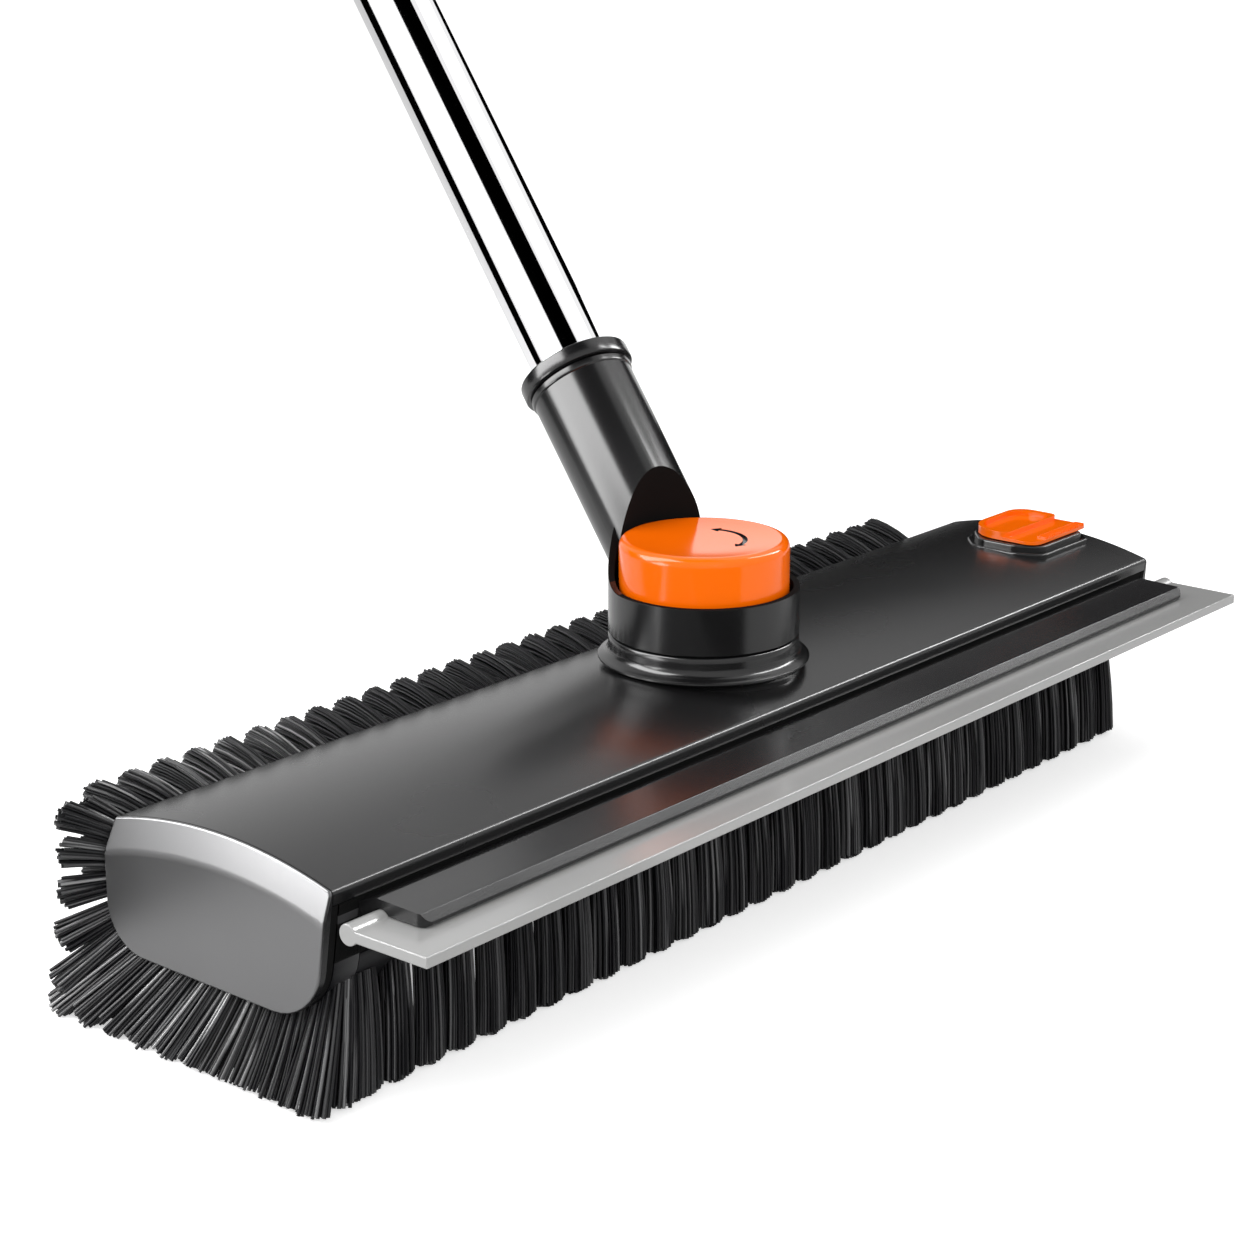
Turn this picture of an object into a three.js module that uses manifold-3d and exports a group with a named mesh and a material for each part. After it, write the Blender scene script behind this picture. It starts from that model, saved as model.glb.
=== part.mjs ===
// Snow brush: a wide bristled head with a squeegee blade, a swivelling neck with a
// push-button brake, a blade latch and a telescopic pole.
// Millimetres. X runs along the head towards its latch end, -Y is the blade side, +Z is up.
// The origin is on the swivel axis, at the floor under the bristle tips.
import * as THREE from "three";
import { mergeVertices } from "three/addons/utils/BufferGeometryUtils.js";
import Module from "manifold-3d";

const wasm = await Module();
wasm.setup();

// ---- Driving dimensions ----
const GAP = 0.3; // play between pieces that touch
const FAR = 400; // reach of a cutting block past the head
const X_AXIS = new THREE.Vector3(1, 0, 0);
const Z_AXIS = new THREE.Vector3(0, 0, 1);

// Head section, in Y and Z
const HEAD_LENGTH = 416;
const HEAD_MID_X = 3.5; // the swivel stands this far left of the head's middle
const CROWN_TOP_Z = 65.4;
const CROWN_RADIUS = 156;
const CROWN_MID_Y = 2;
const CROWN_FRONT_Y = -40.2;
const CROWN_BACK_Y = 43;
const CROWN_STEPS = 8;
const EDGE_RADIUS = 1.2;
const BELLY_FRONT = { y: -34.4, z: 21.2, radius: 18 };
const BELLY_BACK = { y: 46.3, z: 21.9, radius: 14 };
const SHOULDER_BACK = { y: 46.3, z: 50.0, radius: 14 };
const COVER_WALL = 2.8;
const COVER_EDGE_Z = 55.6; // lower edge of the cover's side walls
const BASE_WALL = 3.3;
const STRIP_DEPTH = 4; // thickness of the tufted strips let into the base
const PLATE_THICKNESS = 2.6; // grey plate on each end
const BAND_HEIGHT = 9.5; // band along the plate's crown that leans back into the head
const BAND_DEPTH = 1.8;
const CAP_THICKNESS = 5; // plate and cap together

// Swivel, about Z at the origin
const NECK_TURN = THREE.MathUtils.degToRad(13.2); // how far the neck stands off square
const NECK_TILT = THREE.MathUtils.degToRad(42.8); // pole axis from the vertical
const POLE_AXIS_Z = 71.85; // where the pole axis crosses the swivel axis
const COLLAR_RADIUS = 30;
const BOSS_TOP_Z = 73.75;
const RIM_Z = 89;
const WELL_RADIUS = 28; // the well that the button stands in
const WELL_FLOOR_Z = 77;
const HUB_RADIUS = 8.7;
const STEM_RADIUS = 5;
const BUTTON_RADIUS = 26.7;
const BUTTON_TOP_Z = 104;
const BUTTON_WALL = 2.2;

// Along the pole axis, measured from the swivel axis
const SOCKET_LENGTH = 95.7;
const FERRULE_LENGTH = 5.5;
const POLE_RADIUS = 12.7; // 25.4 mm chromed tube
const POLE_WALL = 1;
const POLE_FOOT = 60;
const POLE_END = 430;
const INNER_POLE_RADIUS = 11;
const INNER_POLE_FOOT = 105;
const INNER_POLE_END = 640;
const GRIP_START = 500;
const GRIP_LENGTH = 125;

// Blade and its rail
const BEAD_Y = -47.5;
const BEAD_Z = 50.8;
const BEAD_RADIUS = 3;
const BLADE_HALF = 1.6; // half the plate's thickness
const BLADE_EDGE_Y = -75;
const RAIL_LEFT_X = -192.5;
const RAIL_RIGHT_X = 195;
const RAIL_LIP_Y = -63.2;

// Latch
const LATCH_X = 188;
const BEZEL_TOP_Z = 68;
const BOLT_WIDTH = 8;
const BOLT_HALF_HEIGHT = 2.5;

// Bristles
const TUFT_PITCH = 12.1;
const FIRST_TUFT = -16;
const LAST_TUFT = 15;
const STRIP_RIGHT_X = 200;
const FAN_STEPS = 24; // tufts round the left end, in each of two rows

const LEFT_X = HEAD_MID_X - HEAD_LENGTH / 2;
const RIGHT_X = HEAD_MID_X + HEAD_LENGTH / 2;
const BODY_LEFT_X = LEFT_X + CAP_THICKNESS + GAP;
const BODY_RIGHT_X = RIGHT_X - CAP_THICKNESS - GAP;
const COVER_LEFT_X = LEFT_X + PLATE_THICKNESS + GAP;
const COVER_RIGHT_X = RIGHT_X - PLATE_THICKNESS - GAP;
const FAN_RIGHT_X = BODY_LEFT_X + 9;

const TURN_STEPS = 24; // facets round a small turned piece
const COLLAR_STEPS = 36; // and round the collar, boss and button

// ---- Solids ----
function solid(geometry) {
  const bare = geometry.clone();
  bare.deleteAttribute("normal");
  bare.deleteAttribute("uv");
  const merged = mergeVertices(bare, 1e-4);
  const mesh = new wasm.Mesh({
    numProp: 3,
    vertProperties: merged.attributes.position.array,
    triVerts: new Uint32Array(merged.index.array),
  });
  return new wasm.Manifold(mesh);
}

function geometryOf(body) {
  const mesh = body.getMesh();
  const geometry = new THREE.BufferGeometry();
  const positions = new Float32Array(mesh.vertProperties);
  geometry.setAttribute("position", new THREE.BufferAttribute(positions, 3));
  geometry.setIndex(new THREE.BufferAttribute(new Uint32Array(mesh.triVerts), 1));
  geometry.computeVertexNormals();
  return geometry;
}

function shifted(body, x, y, z) {
  return solid(geometryOf(body).translate(x, y, z));
}

function rotated(body, axis, angle) {
  const turn = new THREE.Matrix4().makeRotationAxis(axis, angle);
  return solid(geometryOf(body).applyMatrix4(turn));
}

function joined(...bodies) {
  return bodies.reduce((whole, body) => whole.add(body));
}

function block(x0, x1, y0, y1, z0, z1) {
  const box = new THREE.BoxGeometry(x1 - x0, y1 - y0, z1 - z0);
  return solid(box.translate((x0 + x1) / 2, (y0 + y1) / 2, (z0 + z1) / 2));
}

// A profile of [radius, height] pairs turned about Z. A ring's profile closes on itself.
function turned(profile, steps = TURN_STEPS) {
  const points = profile.map(([radius, height]) => new THREE.Vector2(radius, height));
  const onAxis = profile[0][0] === 0 && profile[profile.length - 1][0] === 0;
  if (!onAxis) points.push(points[0].clone());
  return solid(new THREE.LatheGeometry(points, steps).rotateX(Math.PI / 2));
}

function disc(radius, z0, z1, steps = TURN_STEPS) {
  return turned([[0, z0], [radius, z0], [radius, z1], [0, z1]], steps);
}

function ring(inner, outer, z0, z1, steps = TURN_STEPS) {
  return turned([[inner, z0], [outer, z0], [outer, z1], [inner, z1]], steps);
}

// A shape drawn in Y and Z, drawn out along X.
const ALONG_X = new THREE.Matrix4().makeBasis(
  new THREE.Vector3(0, 1, 0),
  new THREE.Vector3(0, 0, 1),
  new THREE.Vector3(1, 0, 0),
);

function bar(shape, x0, x1, curveSegments = 8) {
  const options = { depth: x1 - x0, bevelEnabled: false, curveSegments };
  const geometry = new THREE.ExtrudeGeometry(shape, options);
  return solid(geometry.applyMatrix4(ALONG_X).translate(x0, 0, 0));
}

// A shape drawn in X and Y, drawn up along Z.
function slab(shape, z0, z1, curveSegments = 5) {
  const options = { depth: z1 - z0, bevelEnabled: false, curveSegments };
  return solid(new THREE.ExtrudeGeometry(shape, options).translate(0, 0, z0));
}

function roundedRectangle(x0, x1, y0, y1, radii) {
  const [frontLeft, frontRight, backRight, backLeft] = radii;
  const shape = new THREE.Shape();
  shape.moveTo(x0 + frontLeft, y0);
  shape.lineTo(x1 - frontRight, y0);
  shape.absarc(x1 - frontRight, y0 + frontRight, frontRight, -Math.PI / 2, 0, false);
  shape.lineTo(x1, y1 - backRight);
  shape.absarc(x1 - backRight, y1 - backRight, backRight, 0, Math.PI / 2, false);
  shape.lineTo(x0 + backLeft, y1);
  shape.absarc(x0 + backLeft, y1 - backLeft, backLeft, Math.PI / 2, Math.PI, false);
  shape.lineTo(x0, y0 + frontLeft);
  shape.absarc(x0 + frontLeft, y0 + frontLeft, frontLeft, Math.PI, Math.PI * 1.5, false);
  return shape;
}

// ---- The head's section, and the same section set inwards ----
function crownZ(y) {
  const across = y - CROWN_MID_Y;
  return CROWN_TOP_Z - CROWN_RADIUS + Math.sqrt(CROWN_RADIUS ** 2 - across ** 2);
}

function bellyZ(y) {
  const slope = (BELLY_BACK.z - BELLY_FRONT.z) / (BELLY_BACK.y - BELLY_FRONT.y);
  return BELLY_FRONT.z + slope * (y - BELLY_FRONT.y);
}

function frontY(z) {
  const top = { y: CROWN_FRONT_Y, z: crownZ(CROWN_FRONT_Y) };
  return top.y + ((top.z - z) * (BELLY_FRONT.y - top.y)) / (top.z - BELLY_FRONT.z);
}

function sectionCorners() {
  const corners = [BELLY_FRONT, BELLY_BACK, SHOULDER_BACK];
  for (let i = 0; i <= CROWN_STEPS; i++) {
    const y = THREE.MathUtils.lerp(CROWN_BACK_Y, CROWN_FRONT_Y, i / CROWN_STEPS);
    const radius = i === 0 || i === CROWN_STEPS ? EDGE_RADIUS : 0;
    corners.push({ y, z: crownZ(y), radius });
  }
  return corners;
}

function crossing(first, second) {
  const between = second.start.clone().sub(first.start);
  const along = between.cross(second.along) / first.along.cross(second.along);
  return first.start.clone().addScaledVector(first.along, along);
}

function roundedCorner(corner, before, after, radius) {
  const turn = Math.asin(before.cross(after));
  const start = corner.clone().addScaledVector(before, -radius * Math.tan(turn / 2));
  const centre = start.clone().add(new THREE.Vector2(-before.y, before.x).multiplyScalar(radius));
  const steps = Math.max(1, Math.ceil((turn * radius) / 4));
  const points = [];
  for (let i = 0; i <= steps; i++)
    points.push(start.clone().rotateAround(centre, (turn * i) / steps));
  return points;
}

function section(inset) {
  const corners = sectionCorners();
  const count = corners.length;
  const edges = corners.map((corner, i) => {
    const next = corners[(i + 1) % count];
    const along = new THREE.Vector2(next.y - corner.y, next.z - corner.z).normalize();
    const inwards = new THREE.Vector2(-along.y, along.x);
    const start = new THREE.Vector2(corner.y, corner.z).addScaledVector(inwards, inset);
    return { start, along };
  });
  const points = corners.flatMap((corner, i) => {
    const before = edges[(i + count - 1) % count];
    const at = crossing(before, edges[i]);
    const radius = corner.radius - inset;
    return radius > 0 ? roundedCorner(at, before.along, edges[i].along, radius) : [at];
  });
  return new THREE.Shape(points);
}

function shell(outerInset, innerInset, x0, x1) {
  return bar(section(outerInset), x0, x1).subtract(bar(section(innerInset), x0 - 1, x1 + 1));
}

// ---- Head: cover, base, caps, plates ----
const POSTS = [[-112, 20], [-112, -12], [112, 20], [112, -12]];
const POST_RADIUS = 4.5;
const POST_BORE = 1.8;
const POST_TOP_Z = 55.3;

function swivelBoss() {
  const flare = [
    [26, 70.6], [26, 60], [30.8, 60], [30.8, 63.6], [33, 65.8], [33.3, 66.6],
    [32.2, 67.7], [30.7, 68.9], [COLLAR_RADIUS, 70.4], [COLLAR_RADIUS, 73.1], [29.2, BOSS_TOP_Z],
    [HUB_RADIUS + GAP, BOSS_TOP_Z], [HUB_RADIUS + GAP, 70.6],
  ];
  return turned(flare, COLLAR_STEPS);
}

function coverBoss([x, y]) {
  const roof = crownZ(y) - 1;
  const post = disc(POST_RADIUS, COVER_EDGE_Z, roof, 12);
  const bore = disc(POST_BORE, COVER_EDGE_Z - 1, 61.5, 8);
  return shifted(post.subtract(bore), x, y, 0);
}

function topCover() {
  const above = block(-FAR, FAR, -FAR, FAR, COVER_EDGE_Z, FAR);
  const shellOver = shell(0, COVER_WALL, COVER_LEFT_X, COVER_RIGHT_X).intersect(above);
  const opened = shellOver.subtract(disc(27, 50, 75, COLLAR_STEPS));
  const slot = latchSlot(COVER_EDGE_Z, BEZEL_TOP_Z + 2);
  return joined(opened, swivelBoss(), ...POSTS.map(coverBoss)).subtract(slot);
}

function latchSlot(z0, z1) {
  const half = BOLT_WIDTH / 2 + 0.5;
  return block(LATCH_X - half, LATCH_X + half, -2.5, 11.6, z0, z1);
}

function basePost([x, y]) {
  return shifted(disc(POST_RADIUS, bellyZ(y) + STRIP_DEPTH + 1, POST_TOP_Z, 12), x, y, 0);
}

function postBore([x, y]) {
  const under = bellyZ(y) + STRIP_DEPTH + GAP;
  const head = disc(3.4, under - 2, under + 2.6, 12);
  return shifted(joined(head, disc(POST_BORE, under, POST_TOP_Z + 1, 8)), x, y, 0);
}

function rib(x) {
  const web = bar(section(STRIP_DEPTH + 1), x - 1, x + 1);
  const below = block(x - 2, x + 2, -FAR, FAR, 0, 46);
  const opening = new THREE.Shape().absarc(2, 46, 15, 0, 2 * Math.PI);
  return web.intersect(below).subtract(bar(opening, x - 2, x + 2));
}

function boltGuide() {
  const inner = BOLT_WIDTH / 2 + GAP;
  const cheeks = [-1, 1].map((side) => {
    const faces = [LATCH_X + side * inner, LATCH_X + side * (inner + 2.5)].sort((a, b) => a - b);
    return block(faces[0], faces[1], -33, 12, 26, 54);
  });
  const bed = block(LATCH_X - inner - 1, LATCH_X + inner + 1, -33, 12, 26, 48);
  const springStop = block(LATCH_X - 7, LATCH_X + 7, 31.3, 50, 30, 54);
  const within = bar(section(STRIP_DEPTH + 1), LATCH_X - 20, BODY_RIGHT_X);
  return joined(...cheeks, bed, springStop).intersect(within);
}

function headBase() {
  const bodyEnds = [BODY_LEFT_X, BODY_RIGHT_X];
  const below = block(-FAR, FAR, -FAR, FAR, 0, POST_TOP_Z);
  const core = bar(section(STRIP_DEPTH + GAP), ...bodyEnds);
  const frontFace = bar(section(0), ...bodyEnds).intersect(
    block(-FAR, FAR, -FAR, 0, 38 + GAP, POST_TOP_Z),
  );
  const endBlock = bar(section(0), STRIP_RIGHT_X + GAP, BODY_RIGHT_X);
  const outside = joined(core, frontFace, endBlock).intersect(below);
  const inset = STRIP_DEPTH + GAP + BASE_WALL;
  const hollow = bar(section(inset), BODY_LEFT_X - 1, BODY_RIGHT_X + 1);
  const lipReach = joined(
    block(-FAR, FAR, -FAR, -33.5, POST_TOP_Z - 0.2, 59),
    block(-FAR, FAR, 34, FAR, POST_TOP_Z - 0.2, 59),
  );
  const lips = shell(COVER_WALL + GAP, COVER_WALL + GAP + 1.9, ...bodyEnds).intersect(lipReach);
  const tray = joined(outside.subtract(hollow), lips);
  const fittings = [...[-160, -80, -48, 48, 80, 145].map(rib), ...POSTS.map(basePost), boltGuide()];
  const coneRoom = disc(26, 50, POST_TOP_Z + 1);
  const cuts = [...POSTS.map(postBore), railTongue(GAP), boltWindow(), coneRoom];
  return joined(tray, ...fittings).subtract(joined(...cuts));
}

function endSpan(side, from, to) {
  const outer = side < 0 ? LEFT_X : RIGHT_X;
  return [outer - side * from, outer - side * to].sort((a, b) => a - b);
}

function endPlate(side) {
  const outer = side < 0 ? LEFT_X : RIGHT_X;
  const plate = bar(section(0), ...endSpan(side, 0, PLATE_THICKNESS));
  const crown = new THREE.Shape();
  crown.moveTo(-60, 0);
  for (let y = -60; y <= 60; y += 8) crown.lineTo(y, crownZ(y));
  crown.lineTo(60, 0);
  const slope = (-side * BAND_HEIGHT) / BAND_DEPTH;
  const under = new THREE.ExtrudeGeometry(crown, { depth: 20, bevelEnabled: false });
  under.applyMatrix4(ALONG_X).translate(-10, 0, 0);
  under.applyMatrix4(new THREE.Matrix4().set(1, 0, 0, 0, 0, 1, 0, 0, slope, 0, 1, 0, 0, 0, 0, 1));
  return plate.intersect(solid(under.translate(outer, 0, -BAND_HEIGHT)));
}

// The cap stands behind the plate, under the cover, and plugs into the base.
function endCap(side) {
  const wall = bar(section(0), ...endSpan(side, PLATE_THICKNESS + GAP, CAP_THICKNESS));
  const inset = STRIP_DEPTH + GAP + BASE_WALL + GAP;
  const plug = shell(inset, inset + 2, ...endSpan(side, CAP_THICKNESS - 1, CAP_THICKNESS + 5));
  return joined(
    wall.intersect(block(-FAR, FAR, -FAR, FAR, 0, POST_TOP_Z)),
    plug.intersect(block(-FAR, FAR, -FAR, FAR, 0, 54)),
  );
}

function coverScrew([x, y]) {
  const foot = bellyZ(y) + STRIP_DEPTH + GAP + 0.4;
  const neck = foot + 1.9;
  const profile = [[0, foot], [2, foot], [3, foot + 0.7], [3, neck], [1.4, neck], [1.4, 60.2], [0, 61.2]];
  return shifted(turned(profile, 8), x, y, 0);
}

// ---- Blade rail and blade ----
// The T-shaped rib that hangs the rail in the base's front wall, grown by play.
function railTongue(play) {
  const ends = play > 0 ? [-FAR, RAIL_RIGHT_X + play] : [RAIL_LEFT_X, RAIL_RIGHT_X];
  const web = block(...ends, -42, -36.6, 49.9 - play, 51.7 + play);
  const head = block(...ends, -36.9 - play, -35.4 + play, 48.8 - play, 52.8 + play);
  return joined(web, head);
}

function boltWindow() {
  const half = BOLT_WIDTH / 2 + GAP + 0.2;
  const tall = BOLT_HALF_HEIGHT + GAP;
  return block(LATCH_X - half, LATCH_X + half, -46, -30, BEAD_Z - tall, BEAD_Z + tall);
}

function bladeRail() {
  const channel = BEAD_RADIUS + GAP;
  const slotHalf = BLADE_HALF + GAP;
  const mouth = Math.asin(slotHalf / channel);
  const mouthY = BEAD_Y - channel * Math.cos(mouth);
  const backTop = frontY(54.5) - GAP;
  const backFoot = frontY(45.4) - GAP;
  const shape = new THREE.Shape();
  shape.moveTo(backFoot, 45.4);
  shape.lineTo(-50.5, 45.4);
  shape.quadraticCurveTo(-52.5, 45.4, -52.5, 47.4);
  shape.lineTo(-52.5, BEAD_Z - slotHalf);
  shape.lineTo(mouthY, BEAD_Z - slotHalf);
  shape.absarc(BEAD_Y, BEAD_Z, channel, mouth - Math.PI, Math.PI - mouth, false);
  shape.lineTo(RAIL_LIP_Y + 0.8, BEAD_Z + slotHalf);
  shape.lineTo(RAIL_LIP_Y, BEAD_Z + slotHalf + 0.6);
  shape.lineTo(RAIL_LIP_Y, 53.9);
  shape.lineTo(RAIL_LIP_Y + 1.9, 56.2);
  shape.lineTo(-46, 56.7);
  shape.quadraticCurveTo(-43.6, 56.4, backTop, 54.5);
  const rail = bar(shape, RAIL_LEFT_X, RAIL_RIGHT_X, 10);
  return joined(rail, railTongue(0)).subtract(boltWindow());
}

function blade() {
  const bite = Math.asin(BLADE_HALF / BEAD_RADIUS);
  const shape = new THREE.Shape();
  shape.moveTo(BLADE_EDGE_Y, BEAD_Z - BLADE_HALF + 0.3);
  shape.lineTo(BLADE_EDGE_Y + 0.4, BEAD_Z - BLADE_HALF);
  shape.absarc(BEAD_Y, BEAD_Z, BEAD_RADIUS, bite - Math.PI, Math.PI - bite, false);
  shape.lineTo(BLADE_EDGE_Y + 0.4, BEAD_Z + BLADE_HALF);
  shape.lineTo(BLADE_EDGE_Y, BEAD_Z + BLADE_HALF - 0.3);
  return bar(shape, LEFT_X, RIGHT_X - 0.5, 10);
}

// ---- Latch ----
function bezelOutline(inset) {
  const left = 166.5 + inset;
  const right = 206 - inset;
  const front = -21.5 + inset;
  const back = 15.5 - inset;
  const corners = [
    [left + 4.5, front], [right - 4.5, front], [right, front + 5.5], [right, back - 6],
    [right - 2, back - 2], [right - 6, back], [left + 9, back], [left + 3, back - 2.5],
    [left, back - 8], [left, front + 9.5],
  ];
  return new THREE.Shape(corners.map(([x, y]) => new THREE.Vector2(x, y)));
}

function latchBezel() {
  const tiers = joined(
    slab(bezelOutline(0), 58, BEZEL_TOP_Z - 2),
    slab(bezelOutline(1.3), 58, BEZEL_TOP_Z - 0.6),
    slab(bezelOutline(1.8), 58, BEZEL_TOP_Z),
  );
  const seat = bar(section(-GAP), 150, 220);
  return tiers.subtract(seat).subtract(latchSlot(50, 80));
}

function latchSlider() {
  const z = BEZEL_TOP_Z + GAP;
  const plate = slab(roundedRectangle(170.5, 205.6, -16.5, 13, [5, 2, 7, 12]), z, z + 1.9);
  const rimOutside = roundedRectangle(170.5, 205.6, -4.5, 13, [3, 3, 7, 12]);
  const rimInside = roundedRectangle(174.5, 201.5, -2, 9.8, [3.5, 3, 5, 7.5]);
  const rim = slab(rimOutside, z + 1, z + 3).subtract(slab(rimInside, z + 0.9, z + 5));
  const teeth = [];
  for (let x = 178; x < 204; x += 2) teeth.push(block(x, x + 1.2, -16.4, -12.5, z + 1, z + 2.8));
  const pocket = block(LATCH_X - 3.3, LATCH_X + 3.3, -1.3, 5.3, z - 1, z + 1.3);
  return joined(plate, rim, ...teeth).subtract(pocket);
}

function latchBolt() {
  const half = BOLT_WIDTH / 2;
  const back = BEAD_Y + BEAD_RADIUS + GAP;
  const under = BEAD_Z - BOLT_HALF_HEIGHT;
  const arm = block(LATCH_X - half, LATCH_X + half, back, 14, under, BEAD_Z + BOLT_HALF_HEIGHT);
  const riser = block(LATCH_X - half, LATCH_X + half, -2, 6, BEAD_Z, BEZEL_TOP_Z - 0.2);
  const key = block(LATCH_X - 3, LATCH_X + 3, -1, 5, BEAD_Z, BEZEL_TOP_Z + 1.2);
  const pilot = shifted(rotated(disc(1.4, 0, 5, 12), X_AXIS, -Math.PI / 2), LATCH_X, 13.5, BEAD_Z);
  return joined(arm, riser, key, pilot);
}

// ---- Springs ----
class Helix extends THREE.Curve {
  constructor(radius, length, turns) {
    super();
    Object.assign(this, { radius, length, turns });
  }

  getPoint(t, target = new THREE.Vector3()) {
    const angle = t * this.turns * 2 * Math.PI;
    const across = this.radius;
    return target.set(across * Math.cos(angle), across * Math.sin(angle), t * this.length);
  }
}

// A coil that stands on z = 0 and is length high over its wire.
function coilSpring(radius, wire, length, turns) {
  const section5 = [0, 1, 2, 3, 4].map((i) => {
    const angle = (i * 2 * Math.PI) / 5;
    return new THREE.Vector2(wire * Math.cos(angle), wire * Math.sin(angle));
  });
  const path = new Helix(radius, length - 2 * wire, turns);
  const options = { steps: turns * 8, extrudePath: path, bevelEnabled: false };
  return new THREE.ExtrudeGeometry(new THREE.Shape(section5), options).translate(0, 0, wire);
}

// ---- Neck, in its own frame: the pole leans towards +Y ----
function tilted(body) {
  return shifted(rotated(body, X_AXIS, -NECK_TILT), 0, 0, POLE_AXIS_Z);
}

function collarTop() {
  const shape = new THREE.Shape();
  shape.moveTo(-40, 60);
  shape.lineTo(-40, RIM_Z);
  shape.lineTo(6, RIM_Z);
  shape.quadraticCurveTo(19, RIM_Z + 1, 24, RIM_Z + 13);
  shape.lineTo(40, RIM_Z + 50);
  shape.lineTo(40, 60);
  return bar(shape, -40, 40, 6);
}

function neckSocket() {
  const cup = disc(COLLAR_RADIUS, BOSS_TOP_Z + GAP, 130, COLLAR_STEPS).intersect(collarTop());
  const behind = block(-60, 60, -60, 120, BOSS_TOP_Z + GAP, 200);
  const tube = tilted(turned([[0, 8], [16.5, 8], [17.3, SOCKET_LENGTH - 5.6],
    [18, SOCKET_LENGTH - 5.2], [18, SOCKET_LENGTH], [0, SOCKET_LENGTH]])).intersect(behind);
  const well = turned([[0, WELL_FLOOR_Z], [WELL_RADIUS, WELL_FLOOR_Z], [WELL_RADIUS, 98],
    [23.7, 122.2], [19, 140], [0, 140]], COLLAR_STEPS);
  const bore = tilted(disc(POLE_RADIUS + GAP, POLE_FOOT - GAP, 200));
  const hub = disc(HUB_RADIUS, 66.5, WELL_FLOOR_Z - 1);
  const stemHole = disc(STEM_RADIUS + GAP, 60, 80);
  const hollowed = joined(cup, tube).subtract(joined(well, bore));
  return joined(hollowed, hub).subtract(stemHole);
}

function ferrule() {
  const start = SOCKET_LENGTH + GAP;
  const end = start + FERRULE_LENGTH;
  const inner = POLE_RADIUS + GAP;
  return turned([[inner, start], [18.2, start], [18.75, start + 0.6], [18.75, end - 0.8],
    [18, end], [inner, end]]);
}

function poleTube(radius, start, end) {
  return ring(radius - POLE_WALL, radius, start, end);
}

function gripSleeve() {
  const end = GRIP_START + GRIP_LENGTH;
  const inner = INNER_POLE_RADIUS + GAP;
  const profile = [[inner, GRIP_START], [14, GRIP_START], [15.6, GRIP_START + 3]];
  for (let z = GRIP_START + 20; z < end - 16; z += 24)
    profile.push([16, z], [14.8, z + 1.6], [16, z + 3.2]);
  profile.push([15.6, end - 3], [14.6, end], [inner, end]);
  return turned(profile, 20);
}

function gripCap() {
  const start = GRIP_START + GRIP_LENGTH + GAP;
  const inner = INNER_POLE_RADIUS + GAP;
  const plug = INNER_POLE_END + GAP;
  return turned([[0, plug], [inner, plug], [inner, start], [14.6, start], [15.2, start + 2],
    [15.2, start + 16], [13.8, start + 19.5], [10.5, start + 21], [0, start + 21]]);
}

function lockSleeve() {
  const inner = POLE_RADIUS + GAP;
  const mouth = INNER_POLE_RADIUS + GAP;
  return turned([[inner, 412], [16.4, 412], [16.4, 418.6], [14.6, 418.6], [14.6, 447],
    [12.9, 452], [mouth, 452], [mouth, POLE_END + GAP], [inner, POLE_END + GAP]]);
}

function lockNut() {
  const grooves = [];
  for (let i = 0; i < 8; i++) {
    const groove = shifted(disc(1.5, 424, 446, 6), 18.2, 0, 0);
    grooves.push(rotated(groove, Z_AXIS, (i * Math.PI) / 4));
  }
  const mouth = INNER_POLE_RADIUS + GAP;
  const body = turned([[14.9, 419], [17.6, 419], [17.6, 449], [16.2, 456],
    [13.6, 458], [mouth, 458], [mouth, 454.5], [13.2, 452.4], [14.9, 447.4]]);
  return body.subtract(joined(...grooves));
}

// ---- Button and swivel brake ----
// A shallow groove on the button's top: a quarter ring with an arrow head at each end.
function turnMark() {
  const inner = 12;
  const outer = 13.4;
  const from = -1.15;
  const to = 0.5;
  const lap = 0.03; // the ring runs this far into its arrow heads
  const arc = new THREE.Shape();
  arc.absarc(0, 0, outer, from - lap, to + lap, false);
  arc.absarc(0, 0, inner, to + lap, from - lap, true);
  const heads = [[from, -1], [to, 1]].map(([angle, way]) => {
    const head = new THREE.Shape();
    const at = (radius, beyond) => {
      const turn = angle + (way * beyond) / radius;
      return [radius * Math.cos(turn), radius * Math.sin(turn)];
    };
    head.moveTo(...at(inner - 1.4, 0));
    head.lineTo(...at(outer + 1.4, 0));
    head.lineTo(...at((inner + outer) / 2, 3.2));
    return slab(head, BUTTON_TOP_Z - 1.2, BUTTON_TOP_Z + 1);
  });
  return joined(slab(arc, BUTTON_TOP_Z - 1.2, BUTTON_TOP_Z + 1, 10), ...heads);
}

function releaseButton() {
  const roof = BUTTON_TOP_Z - 3.8;
  const inner = BUTTON_RADIUS - BUTTON_WALL;
  const skirtFoot = WELL_FLOOR_Z + 5.3;
  const bore = STEM_RADIUS + GAP;
  const cap = turned([
    [0, 97.5], [bore, 97.5], [bore, 88], [8.5, 88], [8.5, roof], [inner, roof],
    [inner, skirtFoot], [BUTTON_RADIUS, skirtFoot], [BUTTON_RADIUS, 101.6], [26.2, 103],
    [24.9, 103.8], [23.8, BUTTON_TOP_Z], [21, 103.7], [12, 103.3], [0, 103.2],
  ], COLLAR_STEPS);
  return cap.subtract(turnMark());
}

function lockStem() {
  return disc(STEM_RADIUS, 62 + GAP, 97.2, 24).subtract(disc(2.3, 60, 78, 12));
}

function brakeCone() {
  return turned([[2.3, 58.5], [22, 58.5], [23.4, 60], [23.4, 63.4], [20.4, 66.6], [17.6, 66.6],
    [17.6, 62], [2.3, 62]]);
}

function coneScrew() {
  return turned([[0, 55.8], [3, 55.8], [4, 56.8], [4, 58.2], [2, 58.2], [2, 76], [0, 77]], 12);
}

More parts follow.
